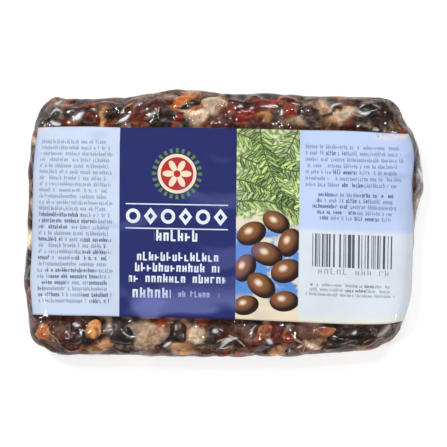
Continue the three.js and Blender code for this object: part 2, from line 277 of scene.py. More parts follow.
def closedRings(bodies, rings, around):
    # for each body, four-cornered faces between its rings of points, and fans onto the two end
    # points that follow them
    ring = np.arange(rings * around).reshape(rings, around)
    ring = np.concatenate([ring, ring[:, :1]], axis=1)
    firstEnd = np.full(around, rings * around)
    fans = np.concatenate([
        np.stack([ring[0, :-1], ring[0, 1:], firstEnd], axis=1),
        np.stack([ring[-1, 1:], ring[-1, :-1], firstEnd + 1], axis=1),
    ])
    starts = np.arange(bodies)[:, None, None] * (rings * around + 2)
    return [(faces + starts).reshape(-1, faces.shape[1]) for faces in (sheetFaces(ring, False), fans)]


# Distances along the surface


def rimTable():
    # angle from straight up round the rim's section, and the distance run along it
    power = block["squareness"]
    angle = np.linspace(0, math.pi, 361)
    sine, cosine = np.sin(angle), np.cos(angle)
    reach = rim * (np.abs(sine) ** power + np.abs(cosine) ** power) ** (-1 / power)
    steps = np.hypot(np.diff(reach * sine), np.diff(reach * cosine))
    return angle, np.concatenate([[0], np.cumsum(steps)])


rimAngle, rimRun = rimTable()


def unrolled(places):
    # how far each place is from the block's middle, run along the surface to the side and across
    middle = np.clip(places, -flatHalf, flatHalf)
    away = places - middle
    angle = np.arctan2(np.abs(away[:, :2]), away[:, 2:])
    return middle[:, :2] + np.sign(places[:, :2]) * np.interp(angle, rimAngle, rimRun)


def rolled(run):
    # the place on the slab reached by runs to the side and across
    over = np.maximum(np.abs(run) - flatHalf[:2], 0)
    angle = np.interp(over, rimRun, rimAngle)
    plan = np.sign(run) * (np.minimum(np.abs(run), flatHalf[:2]) + rim * np.sin(angle))
    return slabPoint(withColumn(plan, rim * np.cos(angle).prod(axis=-1)[:, None]))


# Meshes, and nodes for the materials


def newObject(name, data):
    made = bpy.data.objects.new(name, data)
    bpy.context.scene.collection.objects.link(made)
    return made


def makeMesh(name, points, faceSets, materials, panels=None, colours=None, values=None, uv=None):
    # each face set is an array with one face a row; panels gives each face its material's number
    mesh = bpy.data.meshes.new(name)
    corners = np.concatenate([faces.ravel() for faces in faceSets]).astype(np.int32)
    lengths = np.concatenate([np.full(len(faces), faces.shape[1]) for faces in faceSets])
    mesh.vertices.add(len(points))
    mesh.vertices.foreach_set("co", (points * metre).astype(np.float32).ravel())
    mesh.loops.add(len(corners))
    mesh.loops.foreach_set("vertex_index", corners)
    mesh.polygons.add(len(lengths))
    mesh.polygons.foreach_set("loop_start", (np.cumsum(lengths) - lengths).astype(np.int32))
    mesh.update(calc_edges=True)
    mesh.polygons.foreach_set("use_smooth", np.ones(len(lengths), bool))
    if colours is not None:
        layer = mesh.color_attributes.new("tint", "FLOAT_COLOR", "POINT")
        layer.data.foreach_set("color", withColumn(colours, 1.0).astype(np.float32).ravel())
    for key, numbers in (values or {}).items():
        mesh.attributes.new(key, "FLOAT", "POINT").data.foreach_set("value", numbers.astype(np.float32))
    if uv is not None:
        layer = mesh.uv_layers.new(name="printed")
        layer.data.foreach_set("uv", uv[corners].astype(np.float32).ravel())
    for material in materials:
        mesh.materials.append(material)
    if panels is not None:
        mesh.polygons.foreach_set("material_index", panels.astype(np.int32))
    mesh.validate()
    return newObject(name, mesh)


class Term:
    # a value in a node tree: each sum written with it becomes a Math node there
    def __init__(self, tree, socket):
        self.tree = tree
        self.socket = socket

    def __add__(self, other):
        return maths("ADD", self, other)

    def __sub__(self, other):
        return maths("SUBTRACT", self, other)

    def __rsub__(self, other):
        return maths("SUBTRACT", other, self)

    def __mul__(self, other):
        return maths("MULTIPLY", self, other)

    def __truediv__(self, other):
        return maths("DIVIDE", self, other)

    def __gt__(self, other):
        return maths("GREATER_THAN", self, other)

    def __lt__(self, other):
        return maths("LESS_THAN", self, other)


def addNode(tree, kind, inputs=None, **settings):
    node = tree.nodes.new("ShaderNode" + kind)
    for key, value in settings.items():
        setattr(node, key, value)
    for key, value in (inputs or {}).items():
        connect(tree, value, node.inputs[key])
    return node


def addTerm(tree, kind, inputs=None, output=0, **settings):
    # one output of a new node
    return Term(tree, addNode(tree, kind, inputs, **settings).outputs[output])


def connect(tree, value, socket):
    # a term is linked, and anything else is set on the socket itself
    if isinstance(value, Term):
        tree.links.new(value.socket, socket)
    elif hasattr(socket.default_value, "__len__") and len(value) < len(socket.default_value):
        socket.default_value = (*value, 1)
    else:
        socket.default_value = value


def treeOf(*values):
    return next(value.tree for value in values if isinstance(value, Term))


def maths(operation, *values):
    return addTerm(treeOf(*values), "Math", dict(enumerate(values)), operation=operation)


def hypotenuse(first, second):
    return maths("SQRT", first * first + second * second)


def turned(offX, offY, angle):
    # two offsets measured along axes turned by the angle
    cosine = maths("COSINE", angle)
    sine = maths("SINE", angle)
    return offX * cosine + offY * sine, offY * cosine - offX * sine


def within(value, low, high):
    # 1 between the two limits, 0 outside them
    return (value > low) * (value < high)


def spread(value, low, high, outLow=0.0, outHigh=1.0):
    # a smooth step from one value to the other while the input goes from low to high
    return addTerm(value.tree, "MapRange", {
        "Value": value, "From Min": low, "From Max": high, "To Min": outLow, "To Max": outHigh,
    }, interpolation_type="SMOOTHSTEP")


def mixColour(share, first, second, mode="MIX"):
    # the second colour shows by its share
    return addTerm(treeOf(share, first, second), "Mix", {0: share, 6: first, 7: second}, 2,
                   data_type="RGBA", blend_type=mode)


def noise(where, size, detail=3.0, roughness=0.55, distortion=0.0):
    # size is the width of one blotch in millimetres
    return addTerm(where.tree, "TexNoise", {
        "Vector": where, "Scale": 1 / (size * metre), "Detail": detail,
        "Roughness": roughness, "Distortion": distortion,
    }, "Fac")


def whiteNoise(tree, *place):
    # one repeatable draw from 0 to 1 for each place
    place = addTerm(tree, "CombineXYZ", dict(enumerate(place)))
    return addTerm(tree, "TexWhiteNoise", {"Vector": place}, "Value", noise_dimensions="3D")


def attribute(tree, name, output="Fac"):
    return addTerm(tree, "Attribute", None, output, attribute_name=name)


def objectPlace(tree):
    return addTerm(tree, "TexCoord", None, "Object")


def newMaterial(name):
    material = bpy.data.materials.new(name)
    material.use_nodes = True
    material.node_tree.nodes.clear()
    return material, material.node_tree


def finishMaterial(tree, shader):
    addNode(tree, "OutputMaterial", {"Surface": shader})


def bumped(tree, strength, distance, height):
    # distance is how high the bumps stand, in millimetres
    return addTerm(tree, "Bump", {"Strength": strength, "Distance": distance * metre, "Height": height})


def finishSurface(tree, colour, roughness, others=None):
    # others are further inputs of the shader, by their names
    inputs = {"Base Color": colour, "Roughness": roughness, **(others or {})}
    finishMaterial(tree, addTerm(tree, "BsdfPrincipled", inputs))


def newGroup(name, inputs, outputs):
    # names of the sockets: a Colour is a colour, a Place is a vector, and the others are numbers
    group = bpy.data.node_groups.new(name, "ShaderNodeTree")
    kinds = {"Colour": "NodeSocketColor", "Place": "NodeSocketVector"}
    for way, keys in (("INPUT", inputs), ("OUTPUT", outputs)):
        for key in keys:
            group.interface.new_socket(key, in_out=way, socket_type=kinds.get(key, "NodeSocketFloat"))
    sockets = group.nodes.new("NodeGroupInput").outputs
    return group, {key: Term(group, sockets[key]) for key in inputs}


def finishGroup(group, results):
    output = group.nodes.new("NodeGroupOutput")
    for key, value in results.items():
        connect(group, value, output.inputs[key])
    return group


def useGroup(tree, group, *values):
    # the values go to the group's inputs in their order
    node = addNode(tree, "Group", node_tree=group)
    for socket, value in zip(node.inputs, values):
        connect(tree, value, socket)
    return {socket.name: Term(tree, socket) for socket in node.outputs}


# The pulp

tones = {
    "black": (22, 12, 11), "dark": (46, 23, 18), "wine": (108, 38, 25), "red": (160, 46, 8),
    "rust": (170, 78, 24), "amber": (220, 104, 22), "orange": (230, 152, 80), "tan": (216, 180, 132),
    "cream": (254, 246, 224), "pink": (226, 206, 180), "taupe": (132, 106, 94), "slate": (66, 64, 70),
}
tones = {name: linearColour(*screen) for name, screen in tones.items()}
toneTable = np.array(list(tones.values()))

pulp = {
    "valleyDepth": 2.8,  # deepest hollow below the outside of the film
    "fullRelief": 3.8,  # lump height that would reach the film
    "edgeValleyDepth": 1.1,  # the same round the outline
    "lumpHeight": 3.2,
    "lumpRows": (70, 36, 2, -32, -62),  # degrees above the block's middle height
    "lumpStep": 10.5,
    "lumpClear": 6,  # least distance of a row's lump from those that stand out
    # of a row's lumps, the least and how much more there may be
    "rowLong": (4.8, 3.2),
    "rowShort": (3.6, 1.8),
    "rowHeight": (0.55, 0.4),  # as a share of the height
    "underLabel": 0.62,  # depth of the flat that the slip lies on
    "backDepth": 0.3,
    "domePower": 0.8,
    # lumps that stand out: x, y, half length, half width, turn, tone
    "chiefLumps": [
        (-54.6, 34.3, 4.6, 3.6, 20, "black"), (-46.2, 34.0, 4.4, 3.4, 30, "black"),
        (-44.0, 38.4, 2.6, 1.9, 0, "amber"), (-41.8, 34.6, 3.6, 2.6, 80, "wine"),
        (-38.6, 34.0, 4.4, 1.7, 85, "tan"), (-34.2, 36.2, 5, 3.2, 20, "dark"),
        (-27.8, 34.2, 4.2, 3, 60, "rust"), (-22.6, 36.6, 6.6, 4.8, 50, "wine"),
        (-17.2, 35.0, 3.2, 2.6, 90, "slate"), (-12.2, 38.6, 5.6, 3.8, 10, "orange"),
        (-8, 33.8, 4.2, 3.4, 90, "cream"), (-3.8, 37.5, 6.2, 4.2, 60, "cream"),
        (-13.6, 33, 3.2, 2.4, 0, "red"),
        (3.9, 38.2, 4.6, 3.8, 0, "wine"), (6.4, 33.2, 4.2, 2.4, 10, "red"),
        (13.4, 38.4, 4.6, 3.4, 15, "red"), (12.6, 33.4, 3.6, 2.4, 20, "tan"),
        (20.6, 35.4, 4.6, 2.8, 75, "red"), (26.6, 33.4, 4.6, 3.8, -30, "slate"),
        (31.6, 38.2, 4.4, 3.0, 20, "pink"), (38.2, 34.2, 5.4, 3.8, 40, "cream"),
        (34.4, 32.4, 3, 2.4, 0, "tan"), (48.6, 35.4, 10, 6.2, 8, "black"),
        (-57.8, -35, 3.8, 3.6, 0, "orange"), (-50.6, -36.6, 5, 3.6, 30, "wine"),
        (-46.2, -32.4, 4.6, 3.0, 80, "dark"), (-37, -38.6, 3.8, 2.8, 0, "tan"),
        (-32.4, -34.4, 5, 4.4, 0, "slate"), (-22.4, -34.8, 7.4, 5.2, 15, "pink"),
        (-26, -37.8, 4.2, 3.2, 40, "cream"), (-8.6, -34.6, 4.9, 4.8, 0, "cream"),
        (-12.6, -39.2, 4.4, 2.6, 0, "tan"), (-1.7, -36.5, 5.2, 4.4, 30, "dark"),
        (6.8, -33.2, 4.8, 3.2, 0, "taupe"), (9.4, -38.0, 4.6, 3.0, 0, "wine"),
        (16.6, -34.4, 4.6, 3.4, 60, "wine"), (20.3, -37.6, 3.6, 2.8, 0, "rust"),
        (28.6, -38.4, 3.6, 2.6, 10, "cream"), (26.4, -33.6, 4.4, 3.4, 0, "taupe"),
        (-52, -33.2, 3.8, 2.8, 0, "taupe"),
        (44.4, -35.4, 10.4, 5.4, -12, "dark"), (37.4, -34.6, 4, 3.4, 0, "black"),
        (-60.4, 21, 5, 3.4, 90, "dark"), (-60.4, 12.4, 3.8, 3.2, 90, "rust"),
        (-60.6, 5.8, 3.8, 3.2, 90, "tan"), (-60.9, -4.7, 5.8, 3.6, 90, "cream"),
        (-60.9, -15.3, 5.6, 3.6, 90, "black"), (-60.8, -22.6, 2.8, 2.8, 90, "red"),
        (-60.6, -27.8, 3.6, 3.2, 90, "dark"),
        (60.8, 11.6, 5, 4, 90, "dark"), (58.8, -14, 5, 3.6, 80, "tan"),
        (-37.4, 39.6, 5.6, 3.2, 0, "taupe"), (-28.6, 40.2, 4.4, 3, 10, "taupe"),
        (-9.4, 41.2, 4.4, 3, 0, "tan"), (1.6, 40.9, 4.4, 3, 0, "taupe"),
        (10.6, 40.8, 4.4, 3, 0, "wine"), (20, 40.4, 4.6, 3, 0, "rust"),
        (29.4, 40.4, 4.4, 3, 0, "taupe"), (40.6, 40.2, 5.4, 3, 0, "taupe"),
        (51.6, 39.6, 4.6, 3.2, -20, "dark"), (-48.6, -40.2, 4.4, 3, 0, "wine"),
        (-39.2, -40.6, 4.4, 3, 0, "tan"), (-30, -40.8, 4.4, 3, 0, "dark"),
        (-22, -40.8, 4.2, 3, 0, "taupe"), (-11.6, -40.9, 5.4, 3, 0, "tan"),
        (-1, -40.9, 4.6, 3, 0, "wine"), (8.4, -40.9, 4.4, 3, 0, "taupe"),
        (17.4, -40.8, 4.2, 3, 0, "tan"), (26.6, -40.6, 4.2, 3, 0, "taupe"),
        (35.4, -40.2, 4.4, 3, 0, "dark"), (45.6, -39.4, 5.4, 3.2, 10, "dark"),
    ],
    # share of each tone among the other lumps and in the bed between them
    "lumpTones": [
        ("black", 0.22), ("dark", 0.26), ("wine", 0.18), ("rust", 0.1), ("taupe", 0.08),
        ("orange", 0.03), ("tan", 0.06), ("pink", 0.04), ("cream", 0.03),
    ],
    "bedTones": [
        ("black", 0.2), ("dark", 0.28), ("wine", 0.12), ("slate", 0.06), ("taupe", 0.18), ("tan", 0.08),
        ("cream", 0.08),
    ],
    # smears of one tone: tone, size, the noise where it starts and is full, share, draw
    "smears": [
        ("wine", 8, -0.05, 0.35, 0.8, 81), ("rust", 6, 0.15, 0.5, 0.7, 84),
        ("black", 8, 0.0, 0.35, 0.8, 90), ("amber", 5, 0.2, 0.5, 0.85, 87),
        ("tan", 5, 0.18, 0.45, 0.75, 99), ("cream", 4.5, 0.22, 0.5, 0.8, 93),
        ("pink", 6, 0.25, 0.55, 0.5, 96), ("taupe", 7, -0.05, 0.4, 0.45, 102),
    ],
    # noises that bend the lumps, finely too, and those that shift their tones: size and reach
    "bend": (5, 1.9),
    "fineBend": (1.7, 0.5),
    "toneShift": (4, 2.6),
    "crumbSize": 3.6,
    "tinySize": 1.5,  # of the least crumbs
    "grainSize": 1.6,
    "leastDepth": 0.2,
    "brightness": (0.68, 0.575, 0.53),
    "contrast": 1.26,
    "seed": 41,
}


def rimSpot(turnAway, lift):
    # a place on the rim from its direction round the block, in steps of the square's edge
    square = squareSpot(turnAway)
    side = np.where(np.abs(square) > 0.999999, square, 0)
    away = withColumn(side * np.cos(lift)[:, None], np.sin(lift)[:, None])
    return slabPoint(withColumn(square * flatHalf[:2], 0.0) + away * rim)


def pulpLumps():
    # the lumps that stand out, then jittered rows of others all round the rim, clear of them
    chief = pulp["chiefLumps"]
    x, y, long, short, turn = np.array([lump[:5] for lump in chief], float).T
    place, outward = slabAt(x, y, 1)
    parts = [(
        place, tangents(outward, turn)[0], long, short, np.full(len(chief), pulp["lumpHeight"]),
        toneNumbers(lump[5] for lump in chief),
    )]
    perimeter = 4 * flatHalf[:2].sum() + 2 * math.pi * rim
    count = round(perimeter / pulp["lumpStep"])
    step = np.arange(count)
    for row, rise in enumerate(pulp["lumpRows"]):
        key = 100.0 * row + step

        def between(limits, offset):
            return limits[0] + limits[1] * draw(key + offset)

        turnAway = 2 * math.pi * (step + 0.5 * (row % 2) + 0.5 * (draw(key) - 0.5)) / count
        spot, away = rimSpot(turnAway, np.radians(rise + 14 * (draw(key + 0.3) - 0.5)))
        gap = (np.linalg.norm(spot[:, None] - place[None], axis=2) - np.maximum(long - 5, 0)).min(axis=1)
        values = (
            spot, tangents(away, 180 * draw(key + 0.9))[0],
            between(pulp["rowLong"], 0.5), between(pulp["rowShort"], 0.7),
            pulp["lumpHeight"] * between(pulp["rowHeight"], 0.1),
            pickTones(draw(key + 0.63), pulp["lumpTones"]),
        )
        parts.append([value[gap >= pulp["lumpClear"]] for value in values])
    names = ("place", "along", "long", "short", "height", "tone")
    return {name: np.concatenate(values) for name, values in zip(names, zip(*parts))}


def lumpField(places, lumps):
    # elliptical domes run together softly: their joint height, how far into the nearest dome a
    # place is, whether that is one that stands out, and the domes' tints by their heights
    colours = toneTable[lumps["tone"]]
    total, inner, weight, chief = np.zeros((4, len(places)))
    tint = np.zeros((len(places), 3))
    for number in range(len(lumps["long"])):
        offset = places - lumps["place"][number]
        near = np.abs(offset).max(axis=1) < lumps["long"][number] + 0.5
        offset = offset[near]
        along = offset @ lumps["along"][number]
        across = np.maximum((offset**2).sum(axis=1) - along**2, 0)
        fill = np.maximum(1 - (along / lumps["long"][number]) ** 2 - across / lumps["short"][number] ** 2, 0)
        dome = lumps["height"][number] * fill ** pulp["domePower"]
        total[near] += dome**5
        weight[near] += dome**1.5
        tint[near] += (dome**1.5)[:, None] * colours[number]
        inner[near] = np.maximum(inner[near], fill)
        if number < len(pulp["chiefLumps"]):
            chief[near] = np.maximum(chief[near], fill)
    return total ** (1 / 5), inner, ramp(chief, 0, 0.3), tint / np.maximum(weight, 1e-6)[:, None]


def labelInside(places, margin):
    # how far a place is inside the flat that the slip lies on, 1 well inside, 0 outside
    x, y = unrolled(places).T
    top = np.interp(x, label["topX"], label["topY"])
    low = np.interp(x, label["lowX"], label["lowY"])
    up = (y - low) / (top - low)
    left, right = (label["lowX"][end] + (label["topX"][end] - label["lowX"][end]) * up for end in (0, -1))
    outside = np.maximum.reduce([y - top, low - y, left - x, x - right + endDrawn(1.0, up)])
    return ramp(-outside, -margin, 0)


def toneNumbers(names):
    return np.array([list(tones).index(name) for name in names])


def pickTones(values, shares):
    # the number of the tone that each value from 0 to 1 falls on, by the tones' shares
    limits = np.cumsum([share for name, share in shares])
    numbers = toneNumbers(name for name, share in shares)
    return numbers[np.searchsorted(limits / limits[-1], np.minimum(values, 0.9999))]


def smearOn(colour, places, share):
    # blotches of each tone where a noise of its own is high
    for tone, size, low, high, full, key in pulp["smears"]:
        smear = ramp(layeredNoise(places, size, pulp["seed"] + key), low, high)
        colour = blendTo(colour, tones[tone], share * full * smear)
    return colour


def pulpShape(places, outward, lumps):
    # depth and colour of the pulp: lumps, smaller crumbs between and on them, and fine grain,
    # pressed flat under the slip and on the back; its colour has painted shade in creases and hollows
    seed = pulp["seed"]
    bend = vectorNoise(places, pulp["bend"][0], seed)
    fineBend = vectorNoise(places, pulp["fineBend"][0], seed + 10, 1)
    shift = vectorNoise(places, pulp["toneShift"][0], seed + 100)
    bent = places + pulp["bend"][1] * bend + pulp["fineBend"][1] * fineBend
    height, inner, chief = lumpField(bent, lumps)[:3]
    tinted, lumpTint = lumpField(bent + pulp["toneShift"][1] * shift, lumps)[1::2]
    first, second, pick = nearestCells(bent * (1, 1, 1.3), pulp["crumbSize"], seed + 20)
    crumb = np.sqrt(np.maximum(1 - (first / 0.75) ** 2, 0))
    crease = ramp(second - first, 0.0, 0.22)
    tiny, tinyNext, tinyPick = nearestCells(bent, pulp["tinySize"], seed + 40)
    grain = layeredNoise(places, pulp["grainSize"], seed + 60)
    relief = np.maximum(height, 0.8 * crumb) + 0.35 * crumb * (1 - ramp(inner, 0, 0.5))
    relief = relief + 0.16 * grain - 0.08 * ramp(0.12 - (tinyNext - tiny), 0, 0.12)
    level = ramp(np.abs(outward[:, 2]), 0.15, 0.6)
    valley = pulp["edgeValleyDepth"] + (pulp["valleyDepth"] - pulp["edgeValleyDepth"]) * level
    depth = np.maximum(valley * (1 - relief / pulp["fullRelief"]), 0.25)

    deep = ramp(layeredNoise(bent, 8, seed + 70), -0.2, 0.3)[:, None]
    colour = tones["black"] * (1 - deep) + tones["dark"] * deep
    colour = blendTo(colour, toneTable[pickTones(pick, pulp["bedTones"])], 0.5 * crease)
    smearPlace = bent + 1.5 * bend
    colour = smearOn(colour, smearPlace, 0.9)
    colour = blendTo(colour, lumpTint, 0.95 * ramp(tinted + 0.3 * grain, -0.05, 0.7))
    colour = smearOn(colour, smearPlace * 1.3 + 40, 0.55 - 0.45 * chief)
    speckled = (0.32 - 0.24 * chief) * (tinyPick > 0.72) * ramp(tinyNext - tiny, 0.02, 0.25)
    colour = blendTo(colour, toneTable[pickTones(tinyPick, pulp["lumpTones"])], speckled)
    # painted shade: darker along the creases between crumbs and where the relief sinks into hollows; the
    # grain and the two noises are the pulp's own uneven tone
    shade = (0.82 + 0.18 * crease) * (1 + 0.5 * grain) * (1 + 0.7 * layeredNoise(bent, 3.4, seed + 78))
    shade = shade * (1 - 0.4 * ramp(relief, 1.7, 0.4))
    shade = shade * (1 - 0.5 * (1 - chief) * ramp(layeredNoise(places, 13, seed + 77), 0, 0.35))
    colour = np.array(pulp["brightness"]) * (colour * shade[:, None]).clip(0) ** pulp["contrast"]
    colour = np.clip(colour, 0.002, 0.9)

    pressed = 0.12 * layeredNoise(places, 6, seed + 90)
    back = ramp(-outward[:, 2], 0.9, 0.985)
    backRelief = pulp["backDepth"] + 0.28 * ramp(0.16 - (second - first), 0, 0.16) + pressed
    depth = depth + (backRelief - depth) * back
    top = labelInside(places, 2.2)
    depth = depth + (pulp["underLabel"] + pressed - depth) * top
    return np.maximum(depth, pulp["leastDepth"]), colour


# Seeds, shell pieces and strings in the pulp

seeds = {
    "places": [  # x, y, side, turn
        (-46.4, 36.2, 1, 15), (-11, 38, 1, 10), (26.2, 35.6, 1, 60), (-30.6, -35.4, 1, 100),
        (-46.7, -36.2, 1, 60), (-14, -34.6, 1, 88), (37, -37.4, 1, 5), (61, -2, -1, 90),
        (-18, 40.6, -1, 10), (33, 39.5, -1, 70), (-60, 8, -1, 90), (12, -40.3, -1, 20),
    ],
    "half": (5.0, 3.5, 2.8),
    "squareness": 2.15,
    "depth": 0.8,  # of the highest point
    "root": 3.4,  # how far it goes on below its widest level
}

shells = {
    "places": [
        (-40.6, -33.2, 1, 80), (-57.6, -34.4, 1, 60), (32.2, -33.6, 1, 0), (13.2, -33.4, 1, 90),
        (-11.4, 36.4, 1, 120), (6.4, 33.8, 1, 20), (20.8, 36.0, 1, 75), (-60.6, -19, -1, 80),
        (60.4, 22, -1, 60), (-34, 40.2, -1, 0),
    ],
    "tones": ["orange", "orange", "rust", "rust", "tan", "red", "red", "tan", "orange", "red"],
    "half": (3.6, 2.9, 1.3),
    "depth": 1.6,
    "root": 1.6,
}


def insetFrames(kind):
    # where each body lies: its place with the outward direction there, and its two directions in
    # the surface
    for x, y, side, turn in kind["places"]:
        spot = slabAt(np.array([float(x)]), np.array([float(y)]), side)
        along, across = tangents(spot[1], np.array([float(turn)]))
        yield spot, along, across


def insetBodies(kind, around, down, shape):
    # closed bodies laid along the curved surface: a round grid whose radius and height come from
    # the shape function, then carried from the flat to the slab
    theta = np.linspace(0, math.pi, down + 1)[1:-1, None]
    phi = np.linspace(0, 2 * math.pi, around, endpoint=False)[None, :]
    thick = kind["half"][2]
    points = []
    for number, (spot, along, across) in enumerate(insetFrames(kind)):
        u, v, w = shape(theta, phi, number)
        u, v = (np.concatenate([part.ravel(), [0, 0]])[:, None] for part in (u, v))
        w = np.concatenate([w.ravel(), [w[0].mean(), w[-1].mean()]])
        w = np.where(w < 0, w * (thick + kind["root"]) / thick, w)
        under, away = slabPoint(spot[0] + along * u + across * v)
        points.append(sunk(under, away, kind["depth"] + thick - w))
    return np.concatenate(points), closedRings(len(points), down - 1, around)


def seedShape(theta, phi, number):
    # a squarish cushion with a faint ring pressed into each face; all seeds are alike
    long, wide, thick = seeds["half"]
    power = seeds["squareness"]
    out = np.sin(theta) ** 0.85
    square = (np.abs(np.cos(phi)) ** power + np.abs(np.sin(phi)) ** power) ** (-1 / power)
    taper = 1 - 0.1 * np.cos(phi)
    ring = np.exp(-(((out - 0.62) / 0.07) ** 2))
    u = long * out * square * np.cos(phi)
    v = wide * out * square * np.sin(phi) * taper
    return u, v, thick * np.cos(theta) * (1 - 0.05 * ring) + 0 * phi


def shellShape(theta, phi, number):
    # a broken plate: a ragged outline, a flat top and a blunt edge
    long, wide, thick = shells["half"]
    turn = 2.4 * number
    waves = ((0.08, 2, 1), (0.04, 3, 2), (0.03, 7, 1))  # height, number round, turns
    ragged = 1 + sum(high * np.cos(count * phi + turns * turn) for high, count, turns in waves)
    out = np.sin(theta) ** 0.45 * ragged
    level = np.sign(np.cos(theta)) * np.abs(np.cos(theta)) ** 0.8
    warp = 1 + 0.12 * np.cos(3 * phi + turn) * np.sin(theta)
    return long * out * np.cos(phi), wide * out * np.sin(phi), thick * level * warp


strings = {
    "chief": [  # x and y of each end, and the bow between them
        (-50.4, -33, -47.8, -39, 1), (-33, 34, -27.5, 41, -1), (-6, 34.6, 2, 41, 1.5),
        (21, -33.6, 27, -39.8, -1.5), (36, 35, 44.5, 33.4, 1.5), (0, -34, 7, -40, 1),
    ],
    "radius": 0.42,
    "fineCount": 60,
    "fineRadius": 0.16,
    "seed": 7,
}


def unit(vectors):
    # each vector at length 1
    return vectors / np.linalg.norm(vectors, axis=1, keepdims=True)


def stringTubes(lumps):
    # thin tubes along bowed paths on the pulp: the path dips under at both ends, and the round
    # section is carried along it
    rng = np.random.default_rng(strings["seed"])
    steps = 18
    around = 6
    part = np.linspace(0, 1, steps)
    angle = np.linspace(0, 2 * math.pi, around, endpoint=False)[None, :, None]
    paths = []
    for startX, startY, endX, endY, bow in strings["chief"]:
        x = startX + (endX - startX) * part + bow * np.sin(math.pi * part)
        y = startY + (endY - startY) * part
        paths.append((*slabAt(x, y, 1), strings["radius"]))
    for number in range(strings["fineCount"]):
        turnAway = rng.uniform(0, 2 * math.pi, 1)
        place, outward = rimSpot(turnAway, np.radians(rng.uniform(-75, 80, 1)))
        along, across = tangents(outward, rng.uniform(0, 180, 1))
        reach = rng.uniform(2.0, 5.5)
        bow = rng.uniform(-1.6, 1.6) * np.sin(math.pi * part)[:, None]
        line = place + along * (reach * (2 * part[:, None] - 1)) + across * bow
        paths.append((*slabPoint(line), strings["fineRadius"] * rng.uniform(0.7, 1.8)))
    points = []
    for places, outward, radius in paths:
        depth = pulpShape(places, outward, lumps)[0]
        depth = np.convolve(np.pad(depth, 2, mode="edge"), np.ones(5) / 5, mode="valid")
        dip = 3 * radius * (np.exp(-((part / 0.1) ** 2)) + np.exp(-(((1 - part) / 0.1) ** 2)))
        centre = places - outward * (depth + 0.35 * radius + dip)[:, None]
        forward = unit(np.gradient(centre, axis=0))
        side = unit(np.cross(outward, forward))
        up = np.cross(forward, side)
        width = radius * np.sqrt(np.clip(np.sin(math.pi * part), 0.06, 1))[:, None, None]
        tube = centre[:, None] + width * (side[:, None] * np.cos(angle) - up[:, None] * np.sin(angle))
        points.append(placed(np.concatenate([tube.reshape(-1, 3), centre[:1], centre[-1:]])))
    return np.concatenate(points), closedRings(len(paths), steps, around)


# The slip

label = {
    "length": 118.8,  # of the print
    "width": 59.4,
    # places along the print, and how far each is from the middle along the surface, at the top
    # edge and at the low one, where the end runs over the block's edge
    "stations": [0, 26.4, 63.8, 83.3, 112.4, 118.8],
    "topX": [-60.35, -32.3, 4.2, 23.9, 53.3, 60.4],
    "lowX": [-60.5, -32.4, 3.6, 23.1, 53.2, 66.5],
    "topY": [30.85, 30.03, 29.48, 29.1, 28.74, 28.9],
    "lowY": [-28.5, -28.85, -29.6, -30.6, -32.5, -33.0],
    "endShort": 3.6,  # how much sooner the right end stops where the block bulges beyond it
    "sheet": 0.12,
    "depth": 0.3,  # of its face below the outside of the film
    "leastDepth": 0.12,
    "meshStep": 0.7,
    "swell": (0.16, 14),  # height and size of what bends it
    "ripple": (0.05, 5),
    "seed": 300,
}


def endDrawn(u, v):
    # the right end stops sooner where the block bulges
    return label["endShort"] * ramp(u, 0.93, 1.0) * np.exp(-(((v - 0.7) / 0.15) ** 2))


def labelRun(u, v):
    # along each edge by the stations, and straight between the two edges
    along = u * label["length"]
    topX, lowX, topY, lowY = (
        np.interp(along, label["stations"], label[key]) for key in ("topX", "lowX", "topY", "lowY"))
    return np.stack([lowX + (topX - lowX) * v - endDrawn(u, v), lowY + (topY - lowY) * v], axis=-1)


def labelWave(places):
    # the slip follows what lies under it: low swells, and smaller ripples on them
    high, wide = label["swell"]
    fineHigh, fineWide = label["ripple"]
    swells = high * layeredNoise(places, wide, label["seed"], 2)
    return swells + fineHigh * softNoise(places, fineWide, label["seed"] + 10)


def labelSheet():
    # a thin box over the print's own length and width, carried onto the slab along its surface
    stations = np.array(label["stations"]) / label["length"]
    xs = [
        np.linspace(start, end, round((end - start) * label["length"] / label["meshStep"]), endpoint=False)
        for start, end in zip(stations[:-1], stations[1:])
    ]
    xs = np.concatenate([*xs, [1.0]])
    ys = np.linspace(0, 1, round(label["width"] / label["meshStep"]) + 1)
    points, faces = boxGrid(xs, ys, np.array([0.0, 1.0]))
    panels = np.searchsorted(stations[1:4], points[faces, 0].mean(axis=1))
    places, outward = rolled(labelRun(points[:, 0], points[:, 1]))
    depth = label["depth"] + (1 - points[:, 2]) * label["sheet"] + labelWave(places)
    depth = np.maximum(depth, label["leastDepth"])
    return sunk(places, outward, depth), faces, panels, points[:, :2]


# The film

